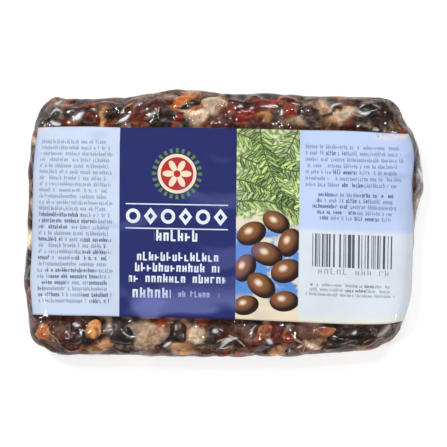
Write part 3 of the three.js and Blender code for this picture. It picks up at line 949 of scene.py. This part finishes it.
film = {
    "clear": 0.1,  # least space over what it touches
    "widening": 2,  # steps over which what lies under counts as wide before the film is drawn over
    "tautSteps": 20,
    "rounding": 5,
    "crinkle": 0.2,  # height of the ridges
    "ridgeSize": 6.5,
    "fineRidgeSize": 3.4,
    "cornerLift": 0.35,  # height of the pleats that fan at the corners
    "cornerPleats": 26,  # how closely they stand
    "cornerReach": 4,
    "slipCalm": 0.85,  # how much weaker the ridges are over the slip
    "lowBand": (-16, -25),  # y where the painted reflection band over the slip's low part starts and is full
    "darkPart": (-33, 4.4),  # x of the ends of that band
    "bandGlare": 0.3,
    "streakGlare": 0.12,
    "seed": 500,
    # pleats: x and y of each end, bow, half width, height, and the strength of the painted highlight along
    # it
    "pleats": [
        (-55.8, 34.4, -50.8, 35.1, 1.9, 0.4, 0.4, 0.8), (-55.4, 32.9, -51.4, 31.4, -0.5, 0.5, 0.4, 0.95),
        (-47.8, 32.8, -44.6, 35.6, -0.9, 0.85, 0.5, 0.95), (-42.0, 36.9, -40.6, 35.8, 0.2, 0.3, 0.3, 0.7),
        (-32.9, 31.9, -29.4, 34.6, -0.3, 0.5, 0.5, 0.95), (-32.6, 35.2, -31.2, 35.0, 0.2, 0.35, 0.3, 0.8),
        (-28.8, 36.4, -25.4, 38.9, 0.4, 0.3, 0.4, 0.35), (-24.1, 32.9, -20.0, 35.2, 0.4, 0.5, 0.4, 0.35),
        (-18.0, 40.0, -13.8, 38.9, 0.3, 0.4, 0.3, 0.35), (4.6, 36.6, 5.8, 37.0, 0.1, 0.35, 0.2, 0.8),
        (8.2, 36.0, 9.4, 36.4, 0.1, 0.3, 0.2, 0.8), (18.4, 36.2, 17.8, 33.6, 0.2, 0.35, 0.2, 0.85),
        (21.2, 38.6, 23.9, 37.5, 0.3, 0.3, 0.3, 0.6), (33.6, 36.2, 37.6, 38.8, 0.7, 0.35, 0.4, 0.7),
        (38.2, 33.2, 40.6, 35.8, -0.2, 0.3, 0.3, 0.4), (42.0, 35.8, 46.6, 35.5, -1.0, 0.45, 0.5, 0.95),
        (43.3, 37.0, 45.1, 38.0, 0.3, 0.25, 0.3, 0.7), (47.4, 38.0, 50.6, 36.8, 0.3, 0.25, 0.3, 0.4),
        (-47.0, -31.2, -45.0, -32.0, -0.2, 0.5, 0.3, 0.9), (-36.4, -31.7, -34.8, -32.0, 0.1, 0.4, 0.3, 0.5),
        (-18.6, -39.3, -16.2, -36.9, 0.2, 0.45, 0.4, 0.9), (-3.4, -33.2, -1.8, -33.6, 0.1, 0.5, 0.3, 0.9),
        (-1.4, -39.2, 4.6, -35.6, 0.8, 0.35, 0.4, 0.8), (-1.0, -37.6, 3.2, -35.4, 0.5, 0.3, 0.3, 0.7),
        (-1.2, -38.8, 1.8, -38.4, -0.4, 0.3, 0.3, 0.7), (13.3, -35.9, 14.9, -37.8, 0.2, 0.65, 0.4, 0.9),
        (20.2, -40.2, 21.0, -40.0, 0.0, 0.4, 0.2, 0.6), (22.8, -39.6, 24.5, -38.3, 0.2, 0.28, 0.3, 0.7),
        (40.6, -34.9, 42.3, -34.4, 0.1, 0.5, 0.3, 0.85), (49.8, -37.0, 54.6, -32.2, -0.8, 1.1, 0.5, 0.35),
        (60.7, 17.4, 61.6, 12.6, 0.3, 0.6, 0.3, 0.8), (-58.6, 32.6, -58.0, 32.2, 0, 0.3, 0.2, 0.8),
        (-57.6, 31.4, -56.9, 31.2, 0, 0.3, 0.2, 0.8), (-56.5, 31.9, -55.8, 31.6, 0, 0.3, 0.2, 0.8),
        (46.8, 29.9, 49.4, 29.6, 0.1, 0.35, 0.2, 0.65), (50.6, 29.4, 52.0, 29.4, 0, 0.3, 0.2, 0.6),
        (53.2, 29.3, 56.2, 28.8, 0.1, 0.3, 0.2, 0.6),
    ],
    # places of painted sheen on the film: x, y, half length, half width, strength
    "paintedSheen": [(61.6, 12, 2.4, 10, 0.4), (-52.3, 39.4, 2.8, 1.5, 0.6)],
    "seamY": 8.0,
    "lapWidth": 10.0,
    "lapRise": 0.12,
}


def pullTaut(stop, faces):
    # what lies under is widened, then each free point rises to the mean of its neighbours and none
    # goes below what it covers, and last the bends are rounded
    pairs = np.concatenate([faces[:, [0, 1]], faces[:, [1, 2]], faces[:, [2, 3]], faces[:, [3, 0]]])
    count = np.bincount(pairs[:, 0], minlength=len(stop))

    def mean(values):
        return np.bincount(pairs[:, 0], weights=values[pairs[:, 1]], minlength=len(stop)) / count

    wide = stop.copy()
    for step in range(film["widening"]):
        nearby = wide.copy()
        np.minimum.at(nearby, pairs[:, 0], wide[pairs[:, 1]])
        wide = nearby
    depth = wide
    for step in range(film["tautSteps"]):
        depth = np.minimum(wide, mean(depth))
    for step in range(film["rounding"]):
        depth = 0.5 * (depth + mean(depth))
    return np.minimum(depth, stop)


def bodyCover(places, kind):
    # the film passes over seeds and shell pieces
    long, wide, thick = kind["half"]
    cover = np.full(len(places), 9.0)
    for (place, outward), along, across in insetFrames(kind):
        offset = places - place
        u, v, away = ((offset * axis).sum(axis=1) for axis in (along, across, outward))
        out = (u / long) ** 2 + (v / wide) ** 2
        dome = kind["depth"] + thick * (1 - np.sqrt(np.maximum(1 - 0.8 * out, 0)))
        cover = np.where((out < 1.25) & (away > -6), np.minimum(cover, dome), cover)
    return cover


def filmDepth(places, faces, pulpDepth):
    # the film is drawn taut over the pulp, what stands out of it and the slip; also how far it is
    # from the pulp, and where it lies on the slip
    stop = np.minimum(pulpDepth, np.minimum(bodyCover(places, seeds), bodyCover(places, shells)))
    stop = stop - film["clear"]
    top = labelInside(places, 0.4)
    flat = label["depth"] + labelWave(places) - film["clear"]
    stop = np.where(top > 0, np.minimum(stop, flat), stop)
    depth = pullTaut(stop, faces)
    slack = np.clip(pulpDepth - depth, 0, 4) * (1 - top)
    return depth, slack, top


def pleatMarks(places):
    # how near each place is to the middle line of each bowed pleat, thinning toward its ends: the first row
    # is the strength of the painted highlight along the pleat, the second its height
    marks = np.zeros((2, len(places)))
    for startX, startY, endX, endY, bow, width, high, white in film["pleats"]:
        run = np.array([endX - startX, endY - startY])
        long = np.linalg.norm(run)
        off = places[:, :2] - (startX, startY)
        part = (off @ run) / long**2
        away = (off[:, 1] * run[0] - off[:, 0] * run[1]) / long
        away = away - bow * np.sin(math.pi * np.clip(part, 0, 1))
        taper = np.sqrt(np.clip(4 * part * (1 - part), 0, 1)) * (places[:, 2] > 0)
        mark = np.exp(-((away / (width * np.maximum(taper, 0.2))) ** 2)) * np.sqrt(taper)
        marks = np.maximum(marks, [white * mark, high * mark])
    return marks


def filmGlare(places, top):
    # painted reflections: a pale band along the slip's low edge over the dark panel, a few pale streaks
    # across the slip, painted sheen on a few places of the film, and the painted highlights along the pleats
    seed = film["seed"]
    start, end = film["darkPart"]
    low = ramp(places[:, 1], *film["lowBand"])
    swirl = places + 5 * vectorNoise(places, 16, seed + 55, 1)
    blotch = ramp(layeredNoise(swirl * (0.8, 1.5, 1), 9, seed + 60, 2), -0.05, 0.3)
    streak = ramp(layeredNoise(swirl * (0.35, 1.2, 1), 7, seed + 70, 2), 0.28, 0.6)
    onDark = ramp(places[:, 0], start, start + 1) * ramp(places[:, 0], end, end - 1)
    glare = (film["bandGlare"] * np.clip(low * blotch, 0, 1) * onDark + film["streakGlare"] * streak) * top
    for x, y, long, wide, strength in film["paintedSheen"]:
        out = ((places[:, 0] - x) / long) ** 2 + ((places[:, 1] - y) / wide) ** 2
        uneven = 0.6 + layeredNoise(places, 3, seed + 80, 2)
        glare = np.maximum(glare, strength * ramp(out, 1, 0.2) * (places[:, 2] > 0) * uneven)
    return np.clip(np.maximum(glare, pleatMarks(places)[0]), 0, 1)


def filmCrinkle(places, top):
    # fine ridges where soft noise crosses zero, and long pleats fanning at the corners
    seed = film["seed"]
    ridge = 1 - np.abs(layeredNoise(places * (1, 1, 1.4), film["ridgeSize"], seed, 2)) * 3
    fineRidge = 1 - np.abs(softNoise(places, film["fineRidgeSize"], seed + 20)) * 2.5
    crinkle = film["crinkle"] * (0.9 * np.maximum(ridge, 0) ** 2 + 0.1 * np.maximum(fineRidge, 0) ** 2)
    cornerX, cornerY = (np.abs(places[:, :2]) - flatHalf[:2] + film["cornerReach"]).T
    corner = film["cornerLift"] * ramp(np.minimum(cornerX, cornerY), 0, 6)
    fan = film["cornerPleats"] * np.arctan2(cornerY, cornerX)
    pleat = np.maximum(np.cos(fan + 3 * softNoise(places, 9, seed + 30)), 0) ** 2
    calm = 1 - film["slipCalm"] * top
    return crinkle * calm + corner * pleat * (1 - top) + pleatMarks(places)[1]


def filmSkin(places, outward, depth, top):
    # the drawn film with its ridges and pleats, and on the back the step of the lap
    depth = np.maximum(depth - filmCrinkle(places, top), 0.02)
    back = ramp(-outward[:, 2], 0.93, 0.985)
    fromSeam = film["seamY"] - places[:, 1]
    lap = (fromSeam > 0) & (fromSeam < film["lapWidth"]) & (np.abs(places[:, 0]) < half[0] - 4)
    swells = film["lapRise"] + 0.05 * np.maximum(layeredNoise(places, 9, film["seed"] + 40), 0)
    return depth + (swells * (1 - lap) - depth) * back


# Materials


def pulpMaterial():
    material, tree = newMaterial("tamarindPulp")
    where = objectPlace(tree)
    tint = attribute(tree, "tint", "Color")
    mottle = noise(where, 1.1, 4, 0.65, 0.6)
    streak = noise(where, 0.5, 3, 0.6, 1.2)
    shade = addTerm(tree, "CombineColor", {
        "Red": spread(mottle, 0.25, 0.75, 0.65, 1.42),
        "Green": spread(mottle, 0.25, 0.75, 0.62, 1.36),
        "Blue": spread(mottle, 0.25, 0.75, 0.62, 1.3),
    })
    colour = mixColour(1.0, tint, shade, "MULTIPLY")
    colour = mixColour(spread(streak, 0.62, 0.76, 0.0, 0.25), colour, tones["orange"])
    finishSurface(tree, colour, spread(streak, 0.3, 0.7, 0.16, 0.36), {
        "Normal": bumped(tree, 0.45, 0.2, mottle), "Specular IOR Level": 0.22,
    })
    return material


def seedMaterial():
    material, tree = newMaterial("seedCoat")
    where = objectPlace(tree)
    blotch = noise(where, 4, 3)
    colour = mixColour(spread(blotch, 0.35, 0.7), linearColour(18, 12, 12), linearColour(58, 28, 20))
    bump = bumped(tree, 0.25, 0.1, noise(where, 0.8, 2))
    finishSurface(tree, colour, spread(blotch, 0.3, 0.7, 0.14, 0.3), {"Normal": bump})
    return material


def shellMaterial():
    material, tree = newMaterial("podShell")
    where = objectPlace(tree)
    blotch = noise(where, 3.2, 4, 0.6, 0.6)
    flake = noise(where, 0.9, 3, 0.6, 0.8)
    tint = attribute(tree, "tint", "Color")
    colour = mixColour(spread(blotch, 0.34, 0.62, 0.1, 0.9), linearColour(52, 22, 12), tint)
    colour = mixColour(spread(flake, 0.45, 0.7, 0.0, 0.35), colour, linearColour(226, 160, 96))
    bump = bumped(tree, 0.4, 0.12, flake)
    finishSurface(tree, colour, spread(blotch, 0.3, 0.7, 0.3, 0.5), {"Normal": bump})
    return material


def stringMaterial():
    material, tree = newMaterial("fruitString")
    blotch = noise(objectPlace(tree), 1.5, 3)
    colour = mixColour(spread(blotch, 0.35, 0.65), linearColour(112, 78, 54), linearColour(178, 148, 112))
    finishSurface(tree, colour, 0.5)
    return material


def textLinesGroup():
    # rows of small upright strokes and bars: each row and each cell along it has its own draws,
    # some cells are blank, and some runs of cells are bolder
    group, given = newGroup("textLines", [
        "X", "Y", "Left", "Right", "Top", "Lines", "Pitch", "Height", "Cell", "Ragged", "Centred", "Bold",
        "Stroke",
    ], ["Ink"])
    x = given["X"]
    stroke = given["Stroke"]
    down = (given["Top"] - given["Y"]) / given["Pitch"]
    row = maths("FLOOR", down)
    high = (maths("FRACT", down) - 0.5) / given["Height"]

    def drawn(cell, key):
        return whiteNoise(group, cell, row, key)

    short = drawn(0.0, 3.0) * given["Ragged"]
    right = given["Right"] - short
    left = given["Left"] + short * given["Centred"]
    inLine = (x > left) * (x < right)
    inRows = (down > 0.0) * (down < given["Lines"])
    count = (x + drawn(0.0, 5.0) * 9.0) / given["Cell"]
    cell = maths("FLOOR", count)
    part = maths("FRACT", count)
    kept = drawn(cell, 7.0) > 0.16
    firstStroke = maths("COMPARE", part, 0.27, stroke)
    nextStroke = maths("COMPARE", part, 0.72, stroke) * (drawn(cell, 9.0) > 0.25)
    body = maths("MAXIMUM", firstStroke, nextStroke) * maths("COMPARE", high, 0.0, 0.5)
    tall = firstStroke * maths("COMPARE", high, -0.3, 0.7) * (drawn(cell, 11.0) > 0.72)
    level = maths("MULTIPLY_ADD", maths("ROUND", drawn(cell, 13.0) * 2.0), 0.42, -0.42)
    bar = maths("COMPARE", high, level, stroke * 0.86) * maths("COMPARE", part, 0.5, 0.32)
    ink = maths("MAXIMUM", maths("MAXIMUM", body, tall), bar)
    bold = drawn(maths("FLOOR", count / 11.0), 15.0) < given["Bold"]
    ink = ink * kept * inLine * inRows * maths("MULTIPLY_ADD", bold, 0.35, 0.65)
    return finishGroup(group, {"Ink": ink})


def leafSprayGroup():
    # paired leaves along a bowed stem: the place along the stem where a leaf's axis meets it gives
    # the leaf's number, and a lens round that axis gives its blade
    group, given = newGroup("leafSpray", [
        "X", "Y", "Start X", "Start Y", "Turn", "Bend", "Reach", "Pitch", "Leaf", "Blade",
    ], ["Leaf", "Stem", "Shade", "Edge"])
    lean = math.radians(52)
    along, away = turned(given["X"] - given["Start X"], given["Y"] - given["Start Y"], given["Turn"])
    away = away - given["Bend"] * (along * along)
    aside = maths("ABSOLUTE", away)
    root = maths("MULTIPLY_ADD", aside, -1 / math.tan(lean), along)
    count = root / given["Pitch"]
    off = (maths("FRACT", count) - 0.5) * given["Pitch"] * math.sin(lean)
    off = maths("ABSOLUTE", off)
    out = aside / math.sin(lean) / given["Leaf"]
    blade = out * (1.0 - out) * 4.0 * given["Blade"]
    onStem = (along > 0.0) * (root < given["Reach"])
    leaf = (off < blade) * (onStem * (root > 0.0))
    stem = (aside < 0.22) * onStem
    pick = whiteNoise(group, maths("FLOOR", count), maths("SIGN", away), given["Turn"])
    shade = pick * 0.75 + (off < 0.12) * 0.25
    edge = off > blade - 0.17
    return finishGroup(group, {"Leaf": leaf, "Stem": stem, "Shade": shade, "Edge": edge})


inks = {
    "ice": (196, 209, 230), "navy": (32, 39, 101), "sand": (222, 214, 190), "periwinkle": (185, 202, 236),
    "white": (211, 219, 227), "titleInk": (222, 228, 238), "warm": (230, 214, 186),
    "slateInk": (70, 84, 122), "blueInk": (42, 54, 98), "black": (38, 40, 52), "leafDark": (38, 88, 54),
    "leafLight": (208, 234, 140), "leafEdge": (24, 42, 28), "stem": (84, 96, 48), "seedRim": (34, 18, 14),
    "seedBody": (132, 84, 52), "seedPale": (236, 212, 184), "wash": (88, 138, 206),
    "emblem": (176, 40, 44), "emblemLeaf": (92, 122, 66), "stain": (178, 96, 70),
    "juice": (246, 218, 190), "edgeCream": (226, 222, 206),
}
inks = {name: linearColour(*screen) for name, screen in inks.items()}


def printedSeedGroup():
    # one flat oval seed: its mask, and a shade from the dark rim to a pale spot off its middle
    group, given = newGroup(
        "printedSeed", ["X", "Y", "Middle X", "Middle Y", "Turn", "Long", "Short"], ["Mask", "Shade"])

    def outness(offX, offY):
        along, away = turned(offX, offY, given["Turn"])
        return hypotenuse(along / given["Long"], away / given["Short"])

    offX = given["X"] - given["Middle X"]
    offY = given["Y"] - given["Middle Y"]
    return finishGroup(group, {
        "Mask": outness(offX, offY) < 1.0, "Shade": outness(offX + 0.9, offY - 0.8),
    })


picture = {
    "sprays": [  # foot x and y, turn, bend, reach, pitch, leaf, half blade
        (82.6, 59.5, -1.92, -0.012, 32.0, 1.75, 4.6, 0.62), (63.6, 58.2, -0.3, -0.016, 22.0, 1.7, 4.4, 0.6),
        (64.2, 51.0, -0.42, 0.01, 22.0, 1.75, 4.4, 0.62), (63.8, 43.6, -0.12, -0.02, 20.0, 1.7, 4.2, 0.6),
        (71.0, 59.4, -1.5, 0.014, 25.0, 1.75, 4.4, 0.62), (64.6, 36.6, 0.2, -0.02, 19.0, 1.7, 4.0, 0.58),
    ],
    "heap": [  # middle x and y, turn, half length, half width
        (76.2, 30.6, -0.5, 4.5, 3.2), (68.6, 26.8, 0.5, 4.8, 3.5), (80.4, 24.4, 1.2, 4.6, 3.4),
        (73.4, 20.6, -0.3, 5.0, 3.6), (66.6, 16.0, 1.1, 4.6, 3.3), (79.4, 15.6, 0.4, 4.9, 3.6),
        (71.8, 10.8, -0.6, 4.8, 3.5), (79.0, 6.2, 0.1, 4.6, 3.2), (67.0, 4.4, 0.3, 4.2, 3.0),
    ],
}


def printedPicture(x, y):
    # feathery leaves over green shade in the upper half, and a heap of oval seeds on a blue wash
    tree = x.tree
    colour = mixColour(spread(y, 0.0, 16.0), inks["warm"], inks["sand"])
    flat = addTerm(tree, "CombineXYZ", {0: x, 1: y})
    cloud = addTerm(tree, "TexNoise", {"Vector": flat, "Scale": 0.22, "Detail": 3.0}, "Fac")
    grain = addTerm(tree, "TexNoise", {"Vector": flat, "Scale": 0.9, "Detail": 2.0}, "Fac")
    shadeTint = mixColour(spread(grain, 0.35, 0.65), inks["leafDark"], inks["leafLight"])
    upper = spread(maths("MULTIPLY_ADD", cloud, 22.0, y), 40.0, 44.0, 0.0, 0.75)
    colour = mixColour(upper, colour, shadeTint)
    low = spread(y, 31.0, 26.0) * spread(y, 4.0, 9.0)
    colour = mixColour(spread(cloud, 0.36, 0.5) * low, colour, inks["wash"])
    leaves = leafSprayGroup()
    for numbers in picture["sprays"]:
        spray = useGroup(tree, leaves, x, y, *numbers)
        tint = mixColour(spray["Shade"], inks["leafDark"], inks["leafLight"])
        tint = mixColour(spray["Edge"], tint, inks["leafEdge"])
        colour = mixColour(spray["Leaf"], colour, tint)
        colour = mixColour(spray["Stem"], colour, inks["stem"])
    oval = printedSeedGroup()
    for numbers in picture["heap"]:
        seed = useGroup(tree, oval, x, y, *numbers)
        tint = mixColour(spread(seed["Shade"], 0.45, 1.05), inks["seedBody"], inks["seedRim"])
        tint = mixColour(spread(seed["Shade"], 0.42, 0.05), tint, inks["seedPale"])
        colour = mixColour(seed["Mask"], colour, tint)
    return colour


def printedEmblem(colour, x, y):
    # a round badge: a ring of rays, a pale ring, a red field and a pale six-petalled rosette
    offX = x - printed["badge"][0]
    offY = y - printed["badge"][1]
    out = hypotenuse(offX, offY)
    angle = maths("ARCTAN2", offY, offX)
    least, more = printed["petals"]
    petals = maths("ABSOLUTE", maths("COSINE", angle * 3.0))
    rays = maths("COSINE", angle * 24.0) > 0.1
    for mask, ink in (
        (within(out, *printed["badgeRing"]), "warm"), (out < printed["badgeRing"][0], "emblem"),
        (out < maths("MULTIPLY_ADD", petals, more, least), "warm"), (out < printed["badgeEye"], "emblem"),
        (within(out, *printed["badgeRays"]) * rays, "emblemLeaf"),
    ):
        colour = mixColour(mask, colour, inks[ink])
    return colour


def printedTitle(colour, x, y):
    # one large ornamental row: rings and diamonds in turn, between fine rules
    start = printed["rowStart"]
    step = printed["rowStep"]
    count = (x - start) / step
    offX = (maths("FRACT", count) - 0.5) * step
    offY = y - printed["rowMiddle"]
    odd = maths("MODULO", maths("FLOOR", count), 2.0) > 0.5
    ring = within(hypotenuse(offX, offY), 1.25, 2.3)
    diamond = within(maths("ABSOLUTE", offX * 1.25) + maths("ABSOLUTE", offY), 1.1, 2.7)
    ornament = addTerm(x.tree, "Mix", {0: odd, 2: ring, 3: diamond})
    ornament = ornament * within(x, start, start + printed["rowCount"] * step)
    lowRule, topRule = (within(y, *rule) for rule in printed["rules"])
    ink = maths("MAXIMUM", ornament, (lowRule + topRule) * within(x, 28.4, 61.2))
    return mixColour(ink, colour, inks["titleInk"])


def printedBars(colour, x, y):
    # upright bars of drawn widths on white
    pick = whiteNoise(x.tree, maths("FLOOR", x / printed["barStep"]))
    bars = (pick > 0.5) * within(x, *printed["barsX"]) * within(y, *printed["barsY"])
    return mixColour(bars * 0.9, colour, inks["black"])


def paperWearAndShadeGroup():
    # faint grime all over, stains of juice along the top edge near both ends, and painted shade that darkens
    # the right end where the slip bends over the block's edge
    group, given = newGroup("paperWearAndShade", ["Colour", "Place", "X", "Y"], ["Colour"])
    x = given["X"]
    where = given["Place"]
    wet = noise(where, 5, 4, 0.6)
    speck = noise(where, 2.2, 2)
    nearTop = spread(given["Y"], label["width"] - 3.2, label["width"] - 0.2)
    nearEnds = spread(x, 9.0, 2.0) + spread(x, 104.0, 110.0)
    stain = nearTop * nearEnds * spread(wet, 0.4, 0.58, 0.0, 0.85)
    juice = mixColour(spread(speck, 0.56, 0.66), inks["juice"], inks["stain"])
    colour = mixColour(stain, given["Colour"], juice)
    # painted shade: the right end is darkened where the slip bends down over the block's edge; the noise is
    # faint grime
    grimeAndEndShade = spread(noise(where, 22, 3), 0.35, 0.75, 1.0, 0.9) * spread(x, 111.5, 118.8, 1.0, 0.86)
    grey = addTerm(group, "CombineColor", {"Red": grimeAndEndShade, "Green": grimeAndEndShade, "Blue": grimeAndEndShade})
    return finishGroup(group, {"Colour": mixColour(1.0, colour, grey, "MULTIPLY")})


printed = {
    "badge": (44.8, 45.0),  # its middle
    "badgeRays": (6.6, 8.0),  # radii of what is drawn in it
    "badgeRing": (5.2, 6.2),
    "petals": (1.0, 3.6),  # least reach, and how much further each petal goes
    "badgeEye": 1.1,
    "rowStart": 28.0,  # of the row of rings and diamonds
    "rowStep": 5.6,
    "rowCount": 6,
    "rowMiddle": 31.6,
    "rules": ((27.6, 27.95), (35.2, 35.55)),
    "barStep": 0.264,
    "barsX": (87.3, 112.4),
    "barsY": (17.4, 27.6),
}

# rows of print on each panel:
# left, right, top, lines, pitch, height, cell, ragged, centred, bold share, stroke, ink
printRows = {
    "left": [
        (2.5, 24.6, 55.4, 11, 1.92, 0.5, 0.62, 2.2, 0, 0.0, 0.14, "slateInk"),
        (2.5, 24.6, 34.3, 16, 1.92, 0.52, 0.62, 2.2, 0, 0.38, 0.14, "blueInk"),
    ],
    "navy": [
        (37.6, 51.4, 27.4, 1, 4.4, 0.56, 2.3, 0.0, 1, 1.0, 0.14, "titleInk"),
        (29.0, 61.0, 20.4, 3, 3.4, 0.56, 1.9, 5.0, 1, 1.0, 0.14, "titleInk"),
        (30.4, 43.0, 9.2, 1, 3.8, 0.66, 2.4, 0.0, 1, 1.0, 0.14, "titleInk"),
        (44.6, 58.6, 8.4, 1, 2.4, 0.6, 1.3, 0.0, 1, 0.5, 0.14, "titleInk"),
    ],
    "picture": [],
    "right": [
        (85.0, 115.6, 55.2, 7, 1.95, 0.5, 0.62, 2.5, 0, 0.1, 0.14, "blueInk"),
        (87.0, 113.6, 40.4, 5, 1.78, 0.54, 0.66, 3.0, 1, 0.6, 0.14, "blueInk"),
        (85.6, 112.4, 17.2, 1, 2.4, 0.62, 1.9, 0.0, 1, 0.3, 0.08, "slateInk"),
        (85.2, 113.4, 12.6, 3, 1.5, 0.5, 0.55, 3.0, 1, 0.2, 0.14, "blueInk"),
    ],
}


def panelColour(panel, x, y):
    if panel == "left":
        return inks["ice"]
    if panel == "navy":
        return printedTitle(printedEmblem(inks["navy"], x, y), x, y)
    if panel == "picture":
        return printedPicture(x, y)
    tint = mixColour(spread(y, 27.8, 29.6), inks["white"], inks["periwinkle"])
    tint = mixColour(spread(y, 3.4, 0.2, 0.0, 0.8), tint, inks["edgeCream"])
    return printedBars(tint, x, y)


def labelMaterials():
    made = []
    lines = textLinesGroup()
    wearAndShade = paperWearAndShadeGroup()
    for panel, rows in printRows.items():
        material, tree = newMaterial(panel + "Print")
        uv = addNode(tree, "SeparateXYZ", {0: addTerm(tree, "UVMap", uv_map="printed")}).outputs
        x = Term(tree, uv[0]) * label["length"]
        y = Term(tree, uv[1]) * label["width"]
        where = objectPlace(tree)
        colour = panelColour(panel, x, y)
        for *numbers, ink in rows:
            mark = useGroup(tree, lines, x, y, *numbers)["Ink"]
            colour = mixColour(mark, colour, inks[ink])
        colour = useGroup(tree, wearAndShade, colour, where, x, y)["Colour"]
        finishSurface(tree, colour, 0.6, {
            "Normal": bumped(tree, 0.15, 0.05, noise(where, 0.6, 3)), "Specular IOR Level": 0.12,
        })
        made.append(material)
    return made


def creases(where, size):
    # sharp folds where noise crosses its middle
    return spread(maths("ABSOLUTE", noise(where, size, 0, 0.5, 0.5) - 0.5), 0.12, 0.0)


def filmMaterial():
    # mostly clear, with a faint mirror broken up by creases, a faint milky haze where it is slack, and a
    # pale diffuse layer, by the glare attribute, that paints highlights along the pleats and reflections
    # over the slip
    material, tree = newMaterial("clearFilm")
    where = objectPlace(tree)
    slack, bare, glare = (attribute(tree, name) for name in ("slack", "bare", "glare"))
    folds = maths("MULTIPLY_ADD", creases(where, 3.0), 0.3, creases(where, 7.0))
    bump = bumped(tree, spread(bare, 0.0, 1.0, 0.05, 0.3), 0.3, folds)
    shine = addTerm(tree, "Fresnel", {"IOR": 1.5, "Normal": bump})
    shine = maths("MINIMUM", shine * 0.75, 0.036)
    clear = addTerm(tree, "BsdfTransparent", {"Color": (0.99, 0.99, 0.99, 1)})
    gloss = addTerm(tree, "BsdfGlossy", {"Color": (1, 1, 1, 1), "Roughness": 0.05, "Normal": bump})
    mirror = addTerm(tree, "MixShader", {0: shine, 1: clear, 2: gloss})
    haze = spread(noise(where, 4, 3), 0.45, 0.8, 0.0, 0.014) * spread(slack, 0.2, 1.8, 0.2, 1.1)
    # painted reflections and highlights: a lavender tint over the slip and a near white one over the pulp,
    # shown by the glare attribute; the faint slack haze uses the same layer
    glareAndHazeTint = mixColour(bare, linearColour(140, 150, 222), linearColour(230, 230, 234))
    glareAndHaze = addTerm(tree, "BsdfDiffuse", {"Color": glareAndHazeTint})
    finishMaterial(tree, addTerm(tree, "MixShader", {0: glare + haze, 1: mirror, 2: glareAndHaze}))
    return material


# Building the pieces


def fineGrid():
    # a box of even steps, pulled onto the slab
    stations = [np.linspace(-size, size, round(2 * size / block["meshStep"]) + 1) for size in half]
    points, faces = boxGrid(*stations)
    return *slabPoint(points), faces


def buildBlock():
    places, outward, faces = fineGrid()
    lumps = pulpLumps()
    depth, colour = pulpShape(places, outward, lumps)
    flesh = makeMesh("pressedPulp", sunk(places, outward, depth), [faces], [pulpMaterial()], colours=colour)
    print("pulp", len(faces), "faces")
    seed = makeMesh("seeds", *insetBodies(seeds, 40, 24, seedShape), [seedMaterial()])
    points, shellFaces = insetBodies(shells, 48, 16, shellShape)
    tints = np.repeat([tones[name] for name in shells["tones"]], len(points) // len(shells["tones"]), axis=0)
    shell = makeMesh("shellPieces", points, shellFaces, [shellMaterial()], colours=tints)
    string = makeMesh("fruitStrings", *stringTubes(lumps), [stringMaterial()])
    print("seeds, shell pieces and strings")
    points, slipFaces, panels, uv = labelSheet()
    slip = makeMesh("printedSlip", points, [slipFaces], labelMaterials(), panels, uv=uv)
    print("slip", len(slipFaces), "faces")
    drawn, slack, top = filmDepth(places, faces, depth)
    points = sunk(places, outward, filmSkin(places, outward, drawn, top))
    values = {"slack": slack, "bare": 1 - top, "glare": filmGlare(places, top)}
    skin = makeMesh("filmSkin", points, [faces], [filmMaterial()], values=values)
    print("film", len(faces), "faces")
    return {piece.name: piece for piece in (flesh, seed, shell, string, slip, skin)}


# The studio

view = {
    "height": 0.7,  # camera above the surface, in metres
    "pixelsPerMm": 3.18,
    "imageSize": 447,
    "sensor": 36.0,
    "floorReach": 3.0,
    "floorGlow": 0.3,
    "worldLight": 0.15,
    # place, size and power of each lamp, which aims at the middle
    "lamps": {
        "keyLight": ((-0.45, 0.5, 0.8), (0.3, 0.14), 5.1),
        "fillLight": ((0.6, -0.3, 0.7), (0.3, 0.16), 3.25),
        "glintLight": ((0.15, 0.42, 0.6), (0.25, 0.025), 1.2),
        "windowGlint": ((-0.35, -0.1, 0.6), (0.04, 0.16), 0.8),
        "lowGlint": ((0.1, -0.26, 0.66), (0.1, 0.02), 0.5),
        "nearGlint": ((-0.16, 0.22, 0.68), (0.05, 0.025), 0.5),
    },
}


def buildCamera():
    # straight above, as far off as makes one millimetre the photograph's number of pixels
    data = bpy.data.cameras.new("camera")
    camera = newObject("camera", data)
    camera.location = (0, 0, view["height"])
    data.sensor_width = view["sensor"]
    seen = view["imageSize"] / view["pixelsPerMm"] * metre
    data.lens = view["sensor"] * (view["height"] - half[2] * metre) / seen
    data.clip_end = 20
    bpy.context.scene.camera = camera


def addLamp(name, place, size, power):
    # a rectangle of light, turned to the middle
    data = bpy.data.lights.new(name, "AREA")
    data.shape = "RECTANGLE"
    data.size, data.size_y = size
    data.energy = power
    lamp = newObject(name, data)
    lamp.location = place
    aim = -np.array(place)
    lamp.rotation_euler = (
        math.acos(-aim[2] / np.linalg.norm(aim)), 0, math.atan2(aim[1], aim[0]) - math.pi / 2)


def buildStudio():
    mesh = bpy.data.meshes.new("floor")
    far = view["floorReach"]
    mesh.from_pydata([(-far, -far, 0), (far, -far, 0), (far, far, 0), (-far, far, 0)], [], [(0, 1, 2, 3)])
    material, tree = newMaterial("paleFloor")
    glow = {"Emission Color": (1, 1, 1), "Emission Strength": view["floorGlow"]}
    finishSurface(tree, (0.96, 0.96, 0.96), 0.9, glow)
    mesh.materials.append(material)
    newObject("floor", mesh)
    world = bpy.data.worlds.new("studio")
    bpy.context.scene.world = world
    world.use_nodes = True
    background = world.node_tree.nodes["Background"].inputs
    background["Color"].default_value = (1, 1, 1, 1)
    background["Strength"].default_value = view["worldLight"]
    for name, lamp in view["lamps"].items():
        addLamp(name, *lamp)
    bpy.context.scene.view_settings.view_transform = "Standard"


buildCamera()
buildStudio()
built = buildBlock()
for piece in built.values():
    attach(piece, "root")
for name in ("pressedPulp", "seeds", "shellPieces", "fruitStrings"):
    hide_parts("pulp_block")
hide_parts("label")
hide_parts("film_wrap")
